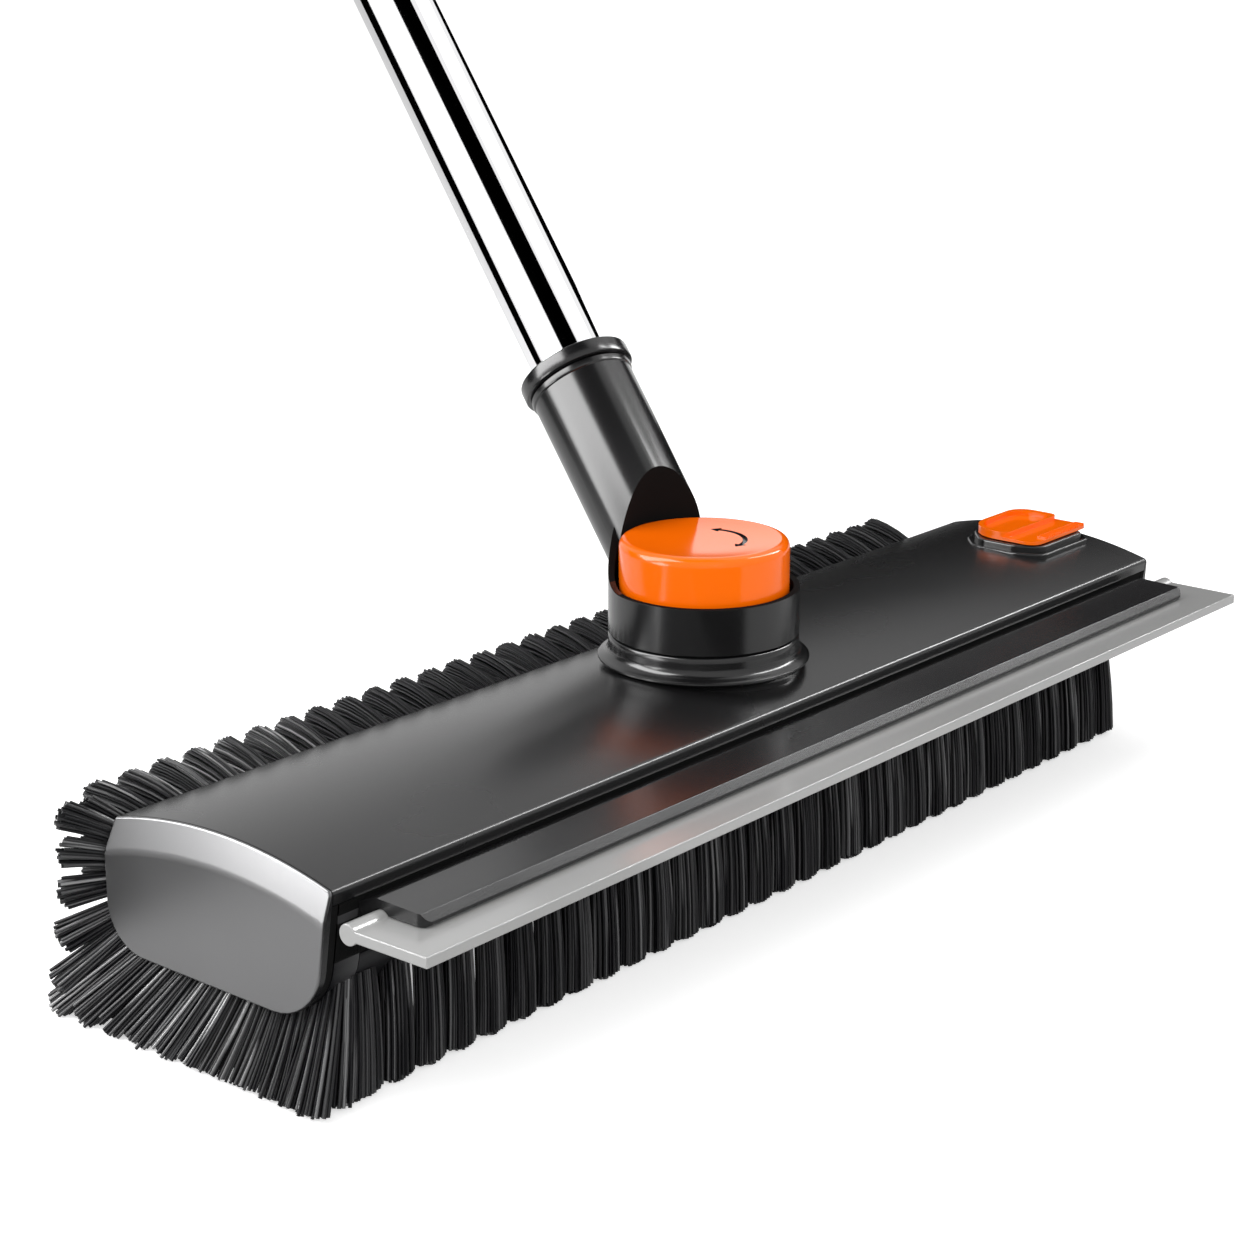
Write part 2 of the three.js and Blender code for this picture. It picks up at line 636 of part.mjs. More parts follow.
function clutchRing() {
  return turned([[17, 66.9], [20.6, 66.9], [23.97, 63.3], [25.7, 63.3], [25.7, 70.3], [17, 70.3]]);
}

// ---- Bristles ----
// The ends of a strand are cut square to the way its row points: down, or out of the back.
const DOWN = { across: new THREE.Vector3(1, 0, 0), over: new THREE.Vector3(0, -1, 0) };
const BACK = { across: new THREE.Vector3(0, 0, 1), over: new THREE.Vector3(1, 0, 0) };

function strandEnd(centre, half, cut, sides) {
  const points = [];
  for (let i = 0; i < sides; i++) {
    const angle = ((i + 0.5) * 2 * Math.PI) / sides;
    const point = centre.clone().addScaledVector(cut.across, half * Math.SQRT2 * Math.cos(angle));
    points.push(point.addScaledVector(cut.over, half * Math.SQRT2 * Math.sin(angle)));
  }
  return points;
}

// One mesh of many separate strands, each { root, tip, rootHalf, tipHalf, cut, sides }.
function strandMesh(strands) {
  const positions = [];
  const push = (...points) => points.forEach((point) => positions.push(point.x, point.y, point.z));
  for (const { root, tip, rootHalf, tipHalf, cut, sides } of strands) {
    const low = strandEnd(root, rootHalf, cut, sides);
    const high = strandEnd(tip, tipHalf, cut, sides);
    for (let i = 0; i < sides; i++) {
      const j = (i + 1) % sides;
      push(low[i], low[j], high[j], low[i], high[j], high[i]);
    }
    for (let i = 2; i < sides; i++) {
      push(high[0], high[i - 1], high[i]);
      push(low[0], low[i], low[i - 1]);
    }
  }
  const geometry = new THREE.BufferGeometry();
  geometry.setAttribute("position", new THREE.Float32BufferAttribute(positions, 3));
  return solid(geometry);
}

// A row of tufts along the head. Roots and tips are [y, z]; the tufts lean towards the left end,
// and the first few lean further.
function tuftRow({ root, tip, lean, cut, count, rootHalf, tipHalf, sides, spread, first, every }) {
  const strands = [];
  for (let tuft = first ?? FIRST_TUFT; tuft <= LAST_TUFT; tuft += every ?? 1) {
    const tipX = tuft * TUFT_PITCH;
    const flare = Math.max(0, 8 - lean - 2 * (tuft - FIRST_TUFT));
    const rootX = tipX + lean + flare;
    for (let i = 0; i < count; i++) {
      const side = i - (count - 1) / 2;
      strands.push({
        root: new THREE.Vector3(rootX + side * spread.root, ...root),
        tip: new THREE.Vector3(tipX + side * spread.tip, ...tip),
        rootHalf, tipHalf, cut, sides,
      });
    }
  }
  return strands;
}

const TRIPLE = { count: 3, rootHalf: 1, tipHalf: 1.65, sides: 4, spread: { root: 2.4, tip: 3.8 } };
const PAIR = { count: 2, rootHalf: 1.5, tipHalf: 2.4, sides: 4, spread: { root: 3.6, tip: 5.6 } };
const SINGLE = { count: 1, rootHalf: 2, tipHalf: 3.5, sides: 3, spread: { root: 0, tip: 0 } };

function frontRows() {
  return tuftRow({ root: [-32.6, 31], tip: [-41, 0], lean: 8, cut: DOWN, ...TRIPLE });
}

// The rows underneath are staggered. The tip of the middle one stands under the swivel axis.
function bottomRows() {
  const rows = [
    [[31, 23.5], 45, 1], [[21.5, 23.4], 30, 0], [[11, 23.3], 15, 1],
    [[0.5, 23.2], 0, 0], [[-9, 23.1], -13, 1], [[-18, 23], -26, 0],
  ];
  return rows.flatMap(([root, tipY, odd]) => {
    const places = { first: FIRST_TUFT + odd, every: 2 };
    return tuftRow({ root, tip: [tipY, 0], lean: 6, cut: DOWN, ...SINGLE, ...places });
  });
}

function backRows() {
  const rows = [[[43.6, 43], [63, 44]], [[42.6, 32.3], [63, 20]]];
  const lower = rows.flatMap(([root, tip]) =>
    tuftRow({ root, tip, lean: 3, cut: BACK, ...SINGLE }),
  );
  return [...tuftRow({ root: [43, 53], tip: [65, 60.5], lean: 2, cut: BACK, ...PAIR }), ...lower];
}

// The tufts fan out round the left end. Stations: share of the way, root y, z, tip y, z.
const FAN = [
  [0, 43.9, 50.5, 57, 60.5], [0.3, 43.6, 36, 59.5, 28], [0.43, 41.8, 29.6, 62.5, 6],
  [0.45, 38.4, 26.2, 64, 0], [0.88, -18.5, 22.9, -24, 0],
  [0.94, -27.2, 25.4, -32, 0], [1, -32.4, 30.4, -39.5, 0],
];

const FAN_BEHIND = { rootHalf: 0.9, tipHalf: 1.9, cut: BACK, sides: 4 };
const FAN_BELOW = { rootHalf: 1.4, tipHalf: 2.4, cut: DOWN, sides: 4 };

function fanStation(share) {
  const next = Math.max(1, FAN.findIndex(([at]) => at >= share));
  const [before, after] = [FAN[next - 1], FAN[next]];
  const part = (share - before[0]) / (after[0] - before[0]);
  return before.map((value, i) => THREE.MathUtils.lerp(value, after[i], part));
}

function fanRows() {
  const strands = [];
  for (let i = 0; i < FAN_STEPS; i++) {
    const [share, rootY, rootZ, tipY, tipZ] = fanStation(i / (FAN_STEPS - 1));
    const behind = share < FAN[3][0];
    const size = behind ? FAN_BEHIND : FAN_BELOW;
    for (const [rootX, tipX] of [[-195.3, -213], [-192, -204]]) {
      const root = new THREE.Vector3(rootX, rootY, rootZ);
      strands.push({ root, tip: new THREE.Vector3(tipX, tipY, tipZ), ...size });
    }
  }
  return strands;
}

function tuftedStrip(strands, x0, x1, reach) {
  return shell(0, STRIP_DEPTH, x0, x1).intersect(reach).add(strandMesh(strands));
}

// ---- Assembly ----
const FINISHES = {
  charcoal: { color: 0x2b2b2c, roughness: 0.38, metalness: 0.1 },
  black: { color: 0x141414, roughness: 0.45, metalness: 0 },
  grey: { color: 0x77787a, roughness: 0.4, metalness: 0.4 },
  bristle: { color: 0x26272a, roughness: 0.6, metalness: 0 },
  blade: { color: 0xb9b9b7, roughness: 0.35, metalness: 0.2 },
  orange: { color: 0xff6a00, roughness: 0.25, metalness: 0 },
  chrome: { color: 0xe8e8ea, roughness: 0.08, metalness: 1 },
  aluminium: { color: 0xb6b8bb, roughness: 0.3, metalness: 1 },
  steel: { color: 0x9a9c9f, roughness: 0.35, metalness: 1 },
  rubber: { color: 0x1c1c1d, roughness: 0.9, metalness: 0 },
};

function piece(name, shape, finish) {
  const geometry = shape.isBufferGeometry ? shape : geometryOf(shape);
  const mesh = new THREE.Mesh(geometry, new THREE.MeshStandardMaterial(FINISHES[finish]));
  mesh.name = name;
  return mesh;
}

function headPieces() {
  const rows = [FAN_RIGHT_X + GAP, STRIP_RIGHT_X];
  const front = block(-FAR, FAR, -FAR, -22 - GAP, 0, 38);
  const bottom = block(-FAR, FAR, -22, 36, 0, 38);
  const back = block(-FAR, FAR, 36 + GAP, FAR, 0, POST_TOP_Z - GAP);
  const round = joined(
    block(-FAR, FAR, -FAR, FAR, 0, 38),
    block(-FAR, FAR, 0, FAR, 0, POST_TOP_Z - GAP),
  );
  return [
    piece("top_cover", topCover(), "charcoal"),
    piece("head_base", headBase(), "black"),
    piece("end_cap_left", endCap(-1), "black"),
    piece("end_cap_right", endCap(1), "black"),
    piece("end_plate_left", endPlate(-1), "grey"),
    piece("end_plate_right", endPlate(1), "grey"),
    ...POSTS.map((at, i) => piece("cover_screw_" + (i + 1), coverScrew(at), "steel")),
    piece("blade_rail", bladeRail(), "black"),
    piece("latch_bezel", latchBezel(), "black"),
    piece("clutch_ring", clutchRing(), "rubber"),
    piece("bristles_front", tuftedStrip(frontRows(), ...rows, front), "bristle"),
    piece("bristles_bottom", tuftedStrip(bottomRows(), ...rows, bottom), "bristle"),
    piece("bristles_back", tuftedStrip(backRows(), ...rows, back), "bristle"),
    piece("bristles_left_end", tuftedStrip(fanRows(), BODY_LEFT_X, FAN_RIGHT_X, round), "bristle"),
  ];
}

function latchSpring() {
  const spring = piece("latch_spring", coilSpring(3, 0.5, 16.7, 6), "steel");
  spring.rotation.x = -Math.PI / 2;
  spring.position.set(LATCH_X, 14 + GAP, BEAD_Z);
  return spring;
}

function buttonSpring() {
  const spring = piece("button_spring", coilSpring(11.5, 0.9, 22.6, 5), "steel");
  spring.position.z = WELL_FLOOR_Z + GAP;
  return spring;
}

function poleGroup() {
  const pole = new THREE.Group();
  pole.position.z = POLE_AXIS_Z;
  pole.rotation.x = -NECK_TILT;
  const inside = POLE_RADIUS - POLE_WALL - GAP;
  const plug = disc(inside, POLE_FOOT + 2, POLE_FOOT + 30);
  const hollow = INNER_POLE_RADIUS - POLE_WALL - 2;
  const bush = ring(hollow, inside, INNER_POLE_FOOT - 14, INNER_POLE_FOOT - GAP);
  pole.add(
    piece("pole_ferrule", ferrule(), "charcoal"),
    piece("lower_pole", poleTube(POLE_RADIUS, POLE_FOOT, POLE_END), "chrome"),
    piece("pole_plug", plug, "black"),
    piece("lock_sleeve", lockSleeve(), "black"),
    piece("lock_nut", lockNut(), "black"),
    piece("upper_pole", poleTube(INNER_POLE_RADIUS, INNER_POLE_FOOT, INNER_POLE_END), "aluminium"),
    piece("pole_bush", bush, "black"),
    piece("grip_sleeve", gripSleeve(), "rubber"),
    piece("grip_cap", gripCap(), "black"),
  );
  return pole;
}

function neckGroup() {
  const neck = new THREE.Group();
  neck.rotation.z = -NECK_TURN;
  neck.add(
    piece("neck_socket", neckSocket(), "charcoal"),
    piece("retaining_clip", ring(HUB_RADIUS + GAP, 13, 68.9, 70.3), "steel"),
    piece("release_button", releaseButton(), "orange"),
    piece("lock_stem", lockStem(), "black"),
    piece("brake_cone", brakeCone(), "black"),
    piece("cone_screw", coneScrew(), "steel"),
    buttonSpring(),
    poleGroup(),
  );
  return neck;
}

const snowBrush = new THREE.Group();
snowBrush.add(
  ...headPieces(),
  piece("squeegee_blade", blade(), "blade"),
  piece("latch_slider", latchSlider(), "orange"),
  piece("latch_bolt", latchBolt(), "black"),
  latchSpring(),
  neckGroup(),
);

export default snowBrush;
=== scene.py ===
import math
import random

import bmesh
import bpy
from mathutils import Matrix, Vector


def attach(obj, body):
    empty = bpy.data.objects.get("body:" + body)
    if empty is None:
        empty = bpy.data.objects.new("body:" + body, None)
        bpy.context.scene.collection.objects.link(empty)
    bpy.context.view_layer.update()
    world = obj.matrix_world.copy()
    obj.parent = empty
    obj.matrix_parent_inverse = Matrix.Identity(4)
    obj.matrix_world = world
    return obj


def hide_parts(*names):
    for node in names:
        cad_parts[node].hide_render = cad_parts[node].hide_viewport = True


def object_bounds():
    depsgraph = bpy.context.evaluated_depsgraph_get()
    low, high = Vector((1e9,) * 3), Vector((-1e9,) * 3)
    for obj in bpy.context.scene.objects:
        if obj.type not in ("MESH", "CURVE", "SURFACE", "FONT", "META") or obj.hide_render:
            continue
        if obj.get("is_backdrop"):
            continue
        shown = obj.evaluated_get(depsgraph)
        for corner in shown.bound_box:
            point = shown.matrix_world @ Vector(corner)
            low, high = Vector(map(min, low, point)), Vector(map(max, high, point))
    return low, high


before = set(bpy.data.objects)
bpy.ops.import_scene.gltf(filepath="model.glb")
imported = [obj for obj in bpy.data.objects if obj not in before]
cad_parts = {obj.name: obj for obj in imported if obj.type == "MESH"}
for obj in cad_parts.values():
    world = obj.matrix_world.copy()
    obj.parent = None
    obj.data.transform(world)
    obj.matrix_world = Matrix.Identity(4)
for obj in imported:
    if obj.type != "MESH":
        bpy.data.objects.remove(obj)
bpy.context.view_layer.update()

# ---- Camera ----
# It stands where the photograph was taken from: in front of the brush's left end, at 0.83 m,
# looking 17 degrees down.
lens = bpy.data.cameras.new("camera")
lens.lens = 78.28
lens.sensor_width = 36
camera = bpy.data.objects.new("camera", lens)
camera.location = (-0.64549, -0.50518, 0.32235)
camera.rotation_euler = (math.radians(73.19), 0, math.radians(-50.27))
bpy.context.scene.collection.objects.link(camera)
bpy.context.scene.camera = camera

# ---- Top cover ----
# A satin charcoal shell in ABS, crowned across, with the flared foot of the swivel moulded on.
# Its walls drop over the base, and four screws hold it from below.
LEFT_X = -204.5
RIGHT_X = 211.5
PLATE_THICKNESS = 2.6
PLAY = 0.3
CROWN_TOP_Z = 65.4
CROWN_RADIUS = 156
CROWN_MID_Y = 2
CROWN_FRONT_Y = -40.2
CROWN_BACK_Y = 43
BELLY_FRONT = (-34.4, 21.2)
BELLY_BACK = (46.3, 21.9)
SHOULDER = (46.3, 50)
COVER_EDGE_Z = 55.6
COVER_WALL = 2.8


def crown_z(y):
    """The height of the crown's arc at y."""
    return CROWN_TOP_Z - CROWN_RADIUS + math.sqrt(CROWN_RADIUS**2 - (y - CROWN_MID_Y) ** 2)


def round_corner(bm, corner, radius, segments=8):
    """Rounds one corner of a wire outline to a radius."""
    ends = [edge.other_vert(corner).co - corner.co for edge in corner.link_edges]
    turn = math.pi - ends[0].angle(ends[1])
    bmesh.ops.bevel(
        bm, geom=[corner], offset=radius * math.tan(turn / 2), affect="VERTICES",
        segments=segments, profile=0.5, material=-1,
    )


def head_outline(x):
    """The head's section as a wire loop at x, drawn in millimetres: crown, shoulder and belly."""
    bm = bmesh.new()
    back = bm.verts.new((x, CROWN_BACK_Y, crown_z(CROWN_BACK_Y)))
    centre = (x, CROWN_MID_Y, CROWN_TOP_Z - CROWN_RADIUS)
    half_back = math.asin((CROWN_BACK_Y - CROWN_MID_Y) / CROWN_RADIUS)
    half_front = math.asin((CROWN_MID_Y - CROWN_FRONT_Y) / CROWN_RADIUS)
    bmesh.ops.spin(
        bm, geom=[back], cent=centre, axis=(1, 0, 0), angle=half_back + half_front, steps=40,
    )
    bm.verts.ensure_lookup_table()
    front = min(bm.verts, key=lambda vert: vert.co.y)
    belly_front = bm.verts.new((x, *BELLY_FRONT))
    belly_back = bm.verts.new((x, *BELLY_BACK))
    shoulder = bm.verts.new((x, *SHOULDER))
    loop = [front, belly_front, belly_back, shoulder, back]
    for start, end in zip(loop, loop[1:]):
        bm.edges.new((start, end))
    corners = [(front, 1.5), (back, 1.2), (belly_front, 18), (belly_back, 14), (shoulder, 14)]
    for corner, radius in corners:
        round_corner(bm, corner, radius)
    return bm


def drawn_out(bm, length):
    """Draws the whole of a flat shape out along X."""
    if bm.faces:
        drawn = bmesh.ops.extrude_face_region(bm, geom=bm.faces[:])
    else:
        drawn = bmesh.ops.extrude_edge_only(bm, edges=bm.edges[:])
    moved = [item for item in drawn["geom"] if isinstance(item, bmesh.types.BMVert)]
    bmesh.ops.translate(bm, vec=(length, 0, 0), verts=moved)
    return bm


def trimmed(bm, point, away):
    """Cuts off what lies past a plane, on the side that away points to."""
    geom = bm.verts[:] + bm.edges[:] + bm.faces[:]
    bmesh.ops.bisect_plane(
        bm, geom=geom, dist=1e-5, plane_co=point, plane_no=away, clear_outer=True,
    )
    return bm


def joined(*parts):
    """Puts several closed shells in one mesh."""
    whole = bmesh.new()
    for part in parts:
        mesh = bpy.data.meshes.new("part")
        part.to_mesh(mesh)
        part.free()
        whole.from_mesh(mesh)
        bpy.data.meshes.remove(mesh)
    return whole


def add_piece(name, bm, materials, body, slot, *nodes, sharp=32):
    """Scales a mesh drawn in millimetres to metres and hangs it on its body."""
    bmesh.ops.remove_doubles(bm, verts=bm.verts, dist=1e-4)
    bmesh.ops.recalc_face_normals(bm, faces=bm.faces)
    bmesh.ops.scale(bm, vec=(0.001, 0.001, 0.001), verts=bm.verts)
    for face in bm.faces:
        face.smooth = True
    for edge in bm.edges:
        edge.smooth = edge.calc_face_angle(0) < math.radians(sharp)
    mesh = bpy.data.meshes.new(name)
    bm.to_mesh(mesh)
    bm.free()
    piece = bpy.data.objects.new(name, mesh)
    bpy.context.scene.collection.objects.link(piece)
    for material in materials:
        mesh.materials.append(material)
    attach(piece, body)
    if nodes:
        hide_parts(*nodes)
    return piece


def even_normals(piece):
    """Keeps large faces flat and puts the turn of the light into the narrow faces of an edge."""
    weighted = piece.modifiers.new("even_normals", "WEIGHTED_NORMAL")
    weighted.keep_sharp = True
    weighted.weight = 100


def softened(piece, width, segments=2, angle=30):
    """Breaks the sharp edges as a mould does, by a width in millimetres."""
    edge = piece.modifiers.new("soft_edges", "BEVEL")
    edge.width = width / 1000
    edge.segments = segments
    edge.limit_method = "ANGLE"
    edge.angle_limit = math.radians(angle)
    edge.harden_normals = True
    return piece


def new_group(name, inputs, outputs):
    """An empty shader group with number sockets."""
    group = bpy.data.node_groups.new(name, "ShaderNodeTree")
    for socket, value in inputs.items():
        made = group.interface.new_socket(socket, in_out="INPUT", socket_type="NodeSocketFloat")
        made.default_value = value
    for socket in outputs:
        group.interface.new_socket(socket, in_out="OUTPUT", socket_type="NodeSocketFloat")
    return group


# Spark-eroded mould grain, with soft patches where handling has polished it.
PATCH_SCALE = 14
GRAIN_DEPTH = 0.00005
mould_grain = new_group(
    "mould_grain", {"Grain Scale": 1500, "Patch Scale": PATCH_SCALE}, ["Grain", "Patches"],
)
grain_in = mould_grain.nodes.new("NodeGroupInput")
grain_out = mould_grain.nodes.new("NodeGroupOutput")
grain_place = mould_grain.nodes.new("ShaderNodeTexCoord")
grain_fine = mould_grain.nodes.new("ShaderNodeTexNoise")
grain_fine.inputs["Detail"].default_value = 3
grain_patch = mould_grain.nodes.new("ShaderNodeTexNoise")
grain_patch.inputs["Detail"].default_value = 4
grain_turn = mould_grain.nodes.new("ShaderNodeMapping")
grain_turn.inputs["Rotation"].default_value = (0.61, 0.93, 0.27)
mould_grain.links.new(grain_place.outputs["Object"], grain_turn.inputs["Vector"])
for texture, scale, result in [
    (grain_fine, "Grain Scale", "Grain"), (grain_patch, "Patch Scale", "Patches"),
]:
    mould_grain.links.new(grain_turn.outputs["Vector"], texture.inputs["Vector"])
    mould_grain.links.new(grain_in.outputs[scale], texture.inputs["Scale"])
    mould_grain.links.new(texture.outputs["Fac"], grain_out.inputs[result])


def moulded(name, dark, light, rough, grain=0.1, scale=900, metallic=0, specular=0.5):
    """A moulded or rolled finish: two close shades, two close roughnesses and a fine grain."""
    material = bpy.data.materials.new(name)
    material.use_nodes = True
    nodes, links = material.node_tree.nodes, material.node_tree.links
    shader = nodes["Principled BSDF"]
    shader.inputs["Metallic"].default_value = metallic
    shader.inputs["Specular IOR Level"].default_value = specular
    surface = nodes.new("ShaderNodeGroup")
    surface.node_tree = mould_grain
    surface.inputs["Grain Scale"].default_value = scale
    surface.inputs["Patch Scale"].default_value = PATCH_SCALE
    shade = nodes.new("ShaderNodeMix")
    shade.data_type = "RGBA"
    shade.inputs["A"].default_value = (*dark, 1)
    shade.inputs["B"].default_value = (*light, 1)
    links.new(surface.outputs["Patches"], shade.inputs["Factor"])
    links.new(shade.outputs["Result"], shader.inputs["Base Color"])
    spread = nodes.new("ShaderNodeMapRange")
    spread.inputs["From Min"].default_value = 0.2
    spread.inputs["From Max"].default_value = 0.8
    spread.inputs["To Min"].default_value = rough[0]
    spread.inputs["To Max"].default_value = rough[1]
    links.new(surface.outputs["Patches"], spread.inputs["Value"])
    links.new(spread.outputs["Result"], shader.inputs["Roughness"])
    bump = nodes.new("ShaderNodeBump")
    bump.inputs["Strength"].default_value = grain
    bump.inputs["Distance"].default_value = GRAIN_DEPTH
    links.new(surface.outputs["Grain"], bump.inputs["Height"])
    links.new(bump.outputs["Normal"], shader.inputs["Normal"])
    return material


def spun(profile, steps=96):
    """Turns a profile of (radius, height) pairs about Z."""
    bm = bmesh.new()
    line = [bm.verts.new((radius, 0, height)) for radius, height in profile]
    for start, end in zip(line, line[1:]):
        bm.edges.new((start, end))
    bmesh.ops.spin(
        bm, geom=bm.verts[:] + bm.edges[:], cent=(0, 0, 0), axis=(0, 0, 1),
        angle=2 * math.pi, steps=steps, use_merge=True,
    )
    bmesh.ops.remove_doubles(bm, verts=bm.verts, dist=1e-4)
    bmesh.ops.recalc_face_normals(bm, faces=bm.faces)
    return bm


def flared_foot():
    """The foot of the swivel: it spreads to a rounded lip that stands just clear of the crown."""
    foot = spun([
        (26, 60), (30.6, 60), (30.6, 63.2), (31, 64.3), (31.8, 65), (32.5, 65.4), (33, 65.8),
        (33.3, 66.2), (33.25, 66.65), (32.9, 66.95), (32.4, 67.15), (31.8, 67.4), (31.2, 67.75),
        (30.7, 68.2), (30.35, 68.7), (30.12, 69.25), (30.02, 69.8), (30, 70.3), (30, 71.5),
        (30, 73.1), (29.75, 73.5), (29.3, 73.75), (9, 73.75), (9, 70.6), (26, 70.6), (26, 60),
    ], 128)
    for face in foot.faces:
        face.material_index = 1
    return foot


cover_charcoal = moulded(
    "cover_charcoal", (0.005, 0.005, 0.0053), (0.008, 0.008, 0.0084), (0.24, 0.29), grain=0.03,
)
charcoal = moulded(
    "charcoal_satin", (0.004, 0.004, 0.0043), (0.007, 0.007, 0.0073), (0.19, 0.23), grain=0.03,
)
cover_left = LEFT_X + PLATE_THICKNESS + PLAY
cover_right = RIGHT_X - PLATE_THICKNESS - PLAY
shell = drawn_out(head_outline(cover_left), cover_right - cover_left)
shell = trimmed(shell, (0, 0, COVER_EDGE_Z), (0, 0, -1))
bmesh.ops.recalc_face_normals(shell, faces=shell.faces)
if max(shell.faces, key=lambda face: face.calc_center_median().z).normal.z < 0:
    bmesh.ops.reverse_faces(shell, faces=shell.faces)
bmesh.ops.solidify(shell, geom=shell.faces[:], thickness=COVER_WALL)
add_piece(
    "cover_shell", joined(shell, flared_foot()), [cover_charcoal, charcoal], "head",
    "charcoal_shell", "top_cover",
)

# ---- Head base ----
# The black tray under the cover: front wall, ribs and screw posts, all one moulding. Only its
# front face and the blocks at its ends are seen between cover, rail and tufted strips.
black = moulded(
    "black_moulding", (0.005, 0.005, 0.0054), (0.008, 0.008, 0.0085), (0.22, 0.3), grain=0.04,
)
matt_black = moulded(
    "matt_black_inside", (0.005, 0.005, 0.005), (0.009, 0.009, 0.009), (0.7, 0.8), specular=0.02,
)


def finish_node(name, material):
    """Gives a CAD node its finish."""
    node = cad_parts[name]
    node.data.materials.clear()
    node.data.materials.append(material)


finish_node("head_base", matt_black)

# ---- End caps and end plates ----
# A black cap closes each end and plugs into the base. On it sits a satin grey metal plate with a
# black edge: flat, with a thin rounded rim, and a band along the crown that leans into the head.
CAP_DEPTH = 5
CAP_TOP_Z = 55.3
BAND_HEIGHT = 9.5
BAND_DEPTH = 1.8
RIM_WIDTH = 0.6
CREASE_WIDTH = 1.3
BLOCK_HALF_WIDTH = 60
BLOCK_HALF_LENGTH = 10
BLOCK_FOOT_Z = -20


def filled(bm):
    """Closes a wire loop with a face."""
    bmesh.ops.edgeloop_fill(bm, edges=bm.edges[:])
    return bm


def combined(operation, first, *others):
    """Joins, cuts or trims one closed shape by others."""
    objects = []
    for bm in [first, *others]:
        bmesh.ops.recalc_face_normals(bm, faces=bm.faces)
        mesh = bpy.data.meshes.new("blank")
        bm.to_mesh(mesh)
        bm.free()
        blank = bpy.data.objects.new("blank", mesh)
        bpy.context.scene.collection.objects.link(blank)
        objects.append(blank)
    for other in objects[1:]:
        step = objects[0].modifiers.new("combine", "BOOLEAN")
        step.operation = operation
        step.solver = "EXACT"
        step.object = other
    result = bmesh.new()
    result.from_object(objects[0], bpy.context.evaluated_depsgraph_get())
    for blank in objects:
        bpy.data.objects.remove(blank)
    bmesh.ops.remove_doubles(result, verts=result.verts, dist=2e-3)
    return result


def crease_rounded(bm, width, segments):
    """Rounds the soft bend between a plate's face and its band."""
    bends = [
        edge for edge in bm.edges
        if len(edge.link_faces) == 2
        and all(abs(face.normal.x) > 0.9 for face in edge.link_faces)
        and math.radians(6) < edge.calc_face_angle() < math.radians(16)
    ]
    bmesh.ops.bevel(
        bm, geom=bends, offset=width, affect="EDGES", segments=segments, profile=0.5, material=-1,
    )
    return bm


def under_band(side, outer):
    """All that lies under the leaning band of a plate, as one sheared block."""
    bm = bmesh.new()
    x = outer - BLOCK_HALF_LENGTH
    centre = (x, CROWN_MID_Y, CROWN_TOP_Z - CROWN_RADIUS - BAND_HEIGHT)
    back = bm.verts.new((x, BLOCK_HALF_WIDTH, crown_z(BLOCK_HALF_WIDTH) - BAND_HEIGHT))
    sweep = math.asin((BLOCK_HALF_WIDTH - CROWN_MID_Y) / CROWN_RADIUS)
    sweep += math.asin((BLOCK_HALF_WIDTH + CROWN_MID_Y) / CROWN_RADIUS)
    bmesh.ops.spin(bm, geom=[back], cent=centre, axis=(1, 0, 0), angle=sweep, steps=40)
    front = min(bm.verts, key=lambda vert: vert.co.y)
    feet = [bm.verts.new((x, y, BLOCK_FOOT_Z)) for y in (front.co.y, BLOCK_HALF_WIDTH)]
    corners = [front, *feet, back]
    for start, end in zip(corners, corners[1:]):
        bm.edges.new((start, end))
    drawn_out(filled(bm), 2 * BLOCK_HALF_LENGTH)
    shear = Matrix.Identity(4)
    shear[2][0] = -side * BAND_HEIGHT / BAND_DEPTH
    shear[2][3] = -shear[2][0] * outer
    bm.transform(shear)
    return bm


plate_grey = moulded(
    "satin_grey_metal", (0.15, 0.15, 0.152), (0.175, 0.175, 0.177), (0.28, 0.33), grain=0.03,
    metallic=0.95,
)
for end_name, side, outer in [("left", -1, LEFT_X), ("right", 1, RIGHT_X)]:
    plate = drawn_out(filled(head_outline(outer)), -side * PLATE_THICKNESS)
    plate = combined("INTERSECT", plate, under_band(side, outer))
    bmesh.ops.recalc_face_normals(plate, faces=plate.faces)
    plate = crease_rounded(plate, CREASE_WIDTH, 4)
    rim = [
        edge for edge in plate.edges
        if len(edge.link_faces) == 2 and edge.calc_face_angle() > math.radians(50)
        and max(side * face.normal.x for face in edge.link_faces) > 0.9
    ]
    bmesh.ops.bevel(
        plate, geom=rim, offset=RIM_WIDTH, affect="EDGES", segments=3, profile=0.5, material=-1,
    )
    for face in plate.faces:
        face.material_index = 0 if side * face.normal.x > 0.15 else 1
    plate = add_piece(
        "end_plate_" + end_name + "_face", plate, [plate_grey, black], "head", "grey_plate",
        "end_plate_" + end_name, sharp=50,
    )
    even_normals(plate)
    wall_start = outer - side * (PLATE_THICKNESS + PLAY)
    wall_depth = CAP_DEPTH - PLATE_THICKNESS - PLAY
    wall = drawn_out(filled(head_outline(wall_start)), -side * wall_depth)
    wall = trimmed(wall, (0, 0, CAP_TOP_Z), (0, 0, 1))
    bmesh.ops.holes_fill(wall, edges=wall.edges[:])
    cap = add_piece(
        "end_cap_" + end_name + "_wall", wall, [matt_black], "head", "black_plastic",
        "end_cap_" + end_name, sharp=40,
    )
    even_normals(softened(cap, 0.25, 2, angle=40))

# ---- Cover screws ----
# Four zinc-plated screws go up through the base's posts into the cover.
zinc = moulded(
    "zinc_plated_steel", (0.5, 0.5, 0.51), (0.6, 0.6, 0.61), (0.25, 0.4), grain=0.08, scale=2600,
    metallic=1,
)
for number in range(1, 5):
    finish_node("cover_screw_" + str(number), zinc)

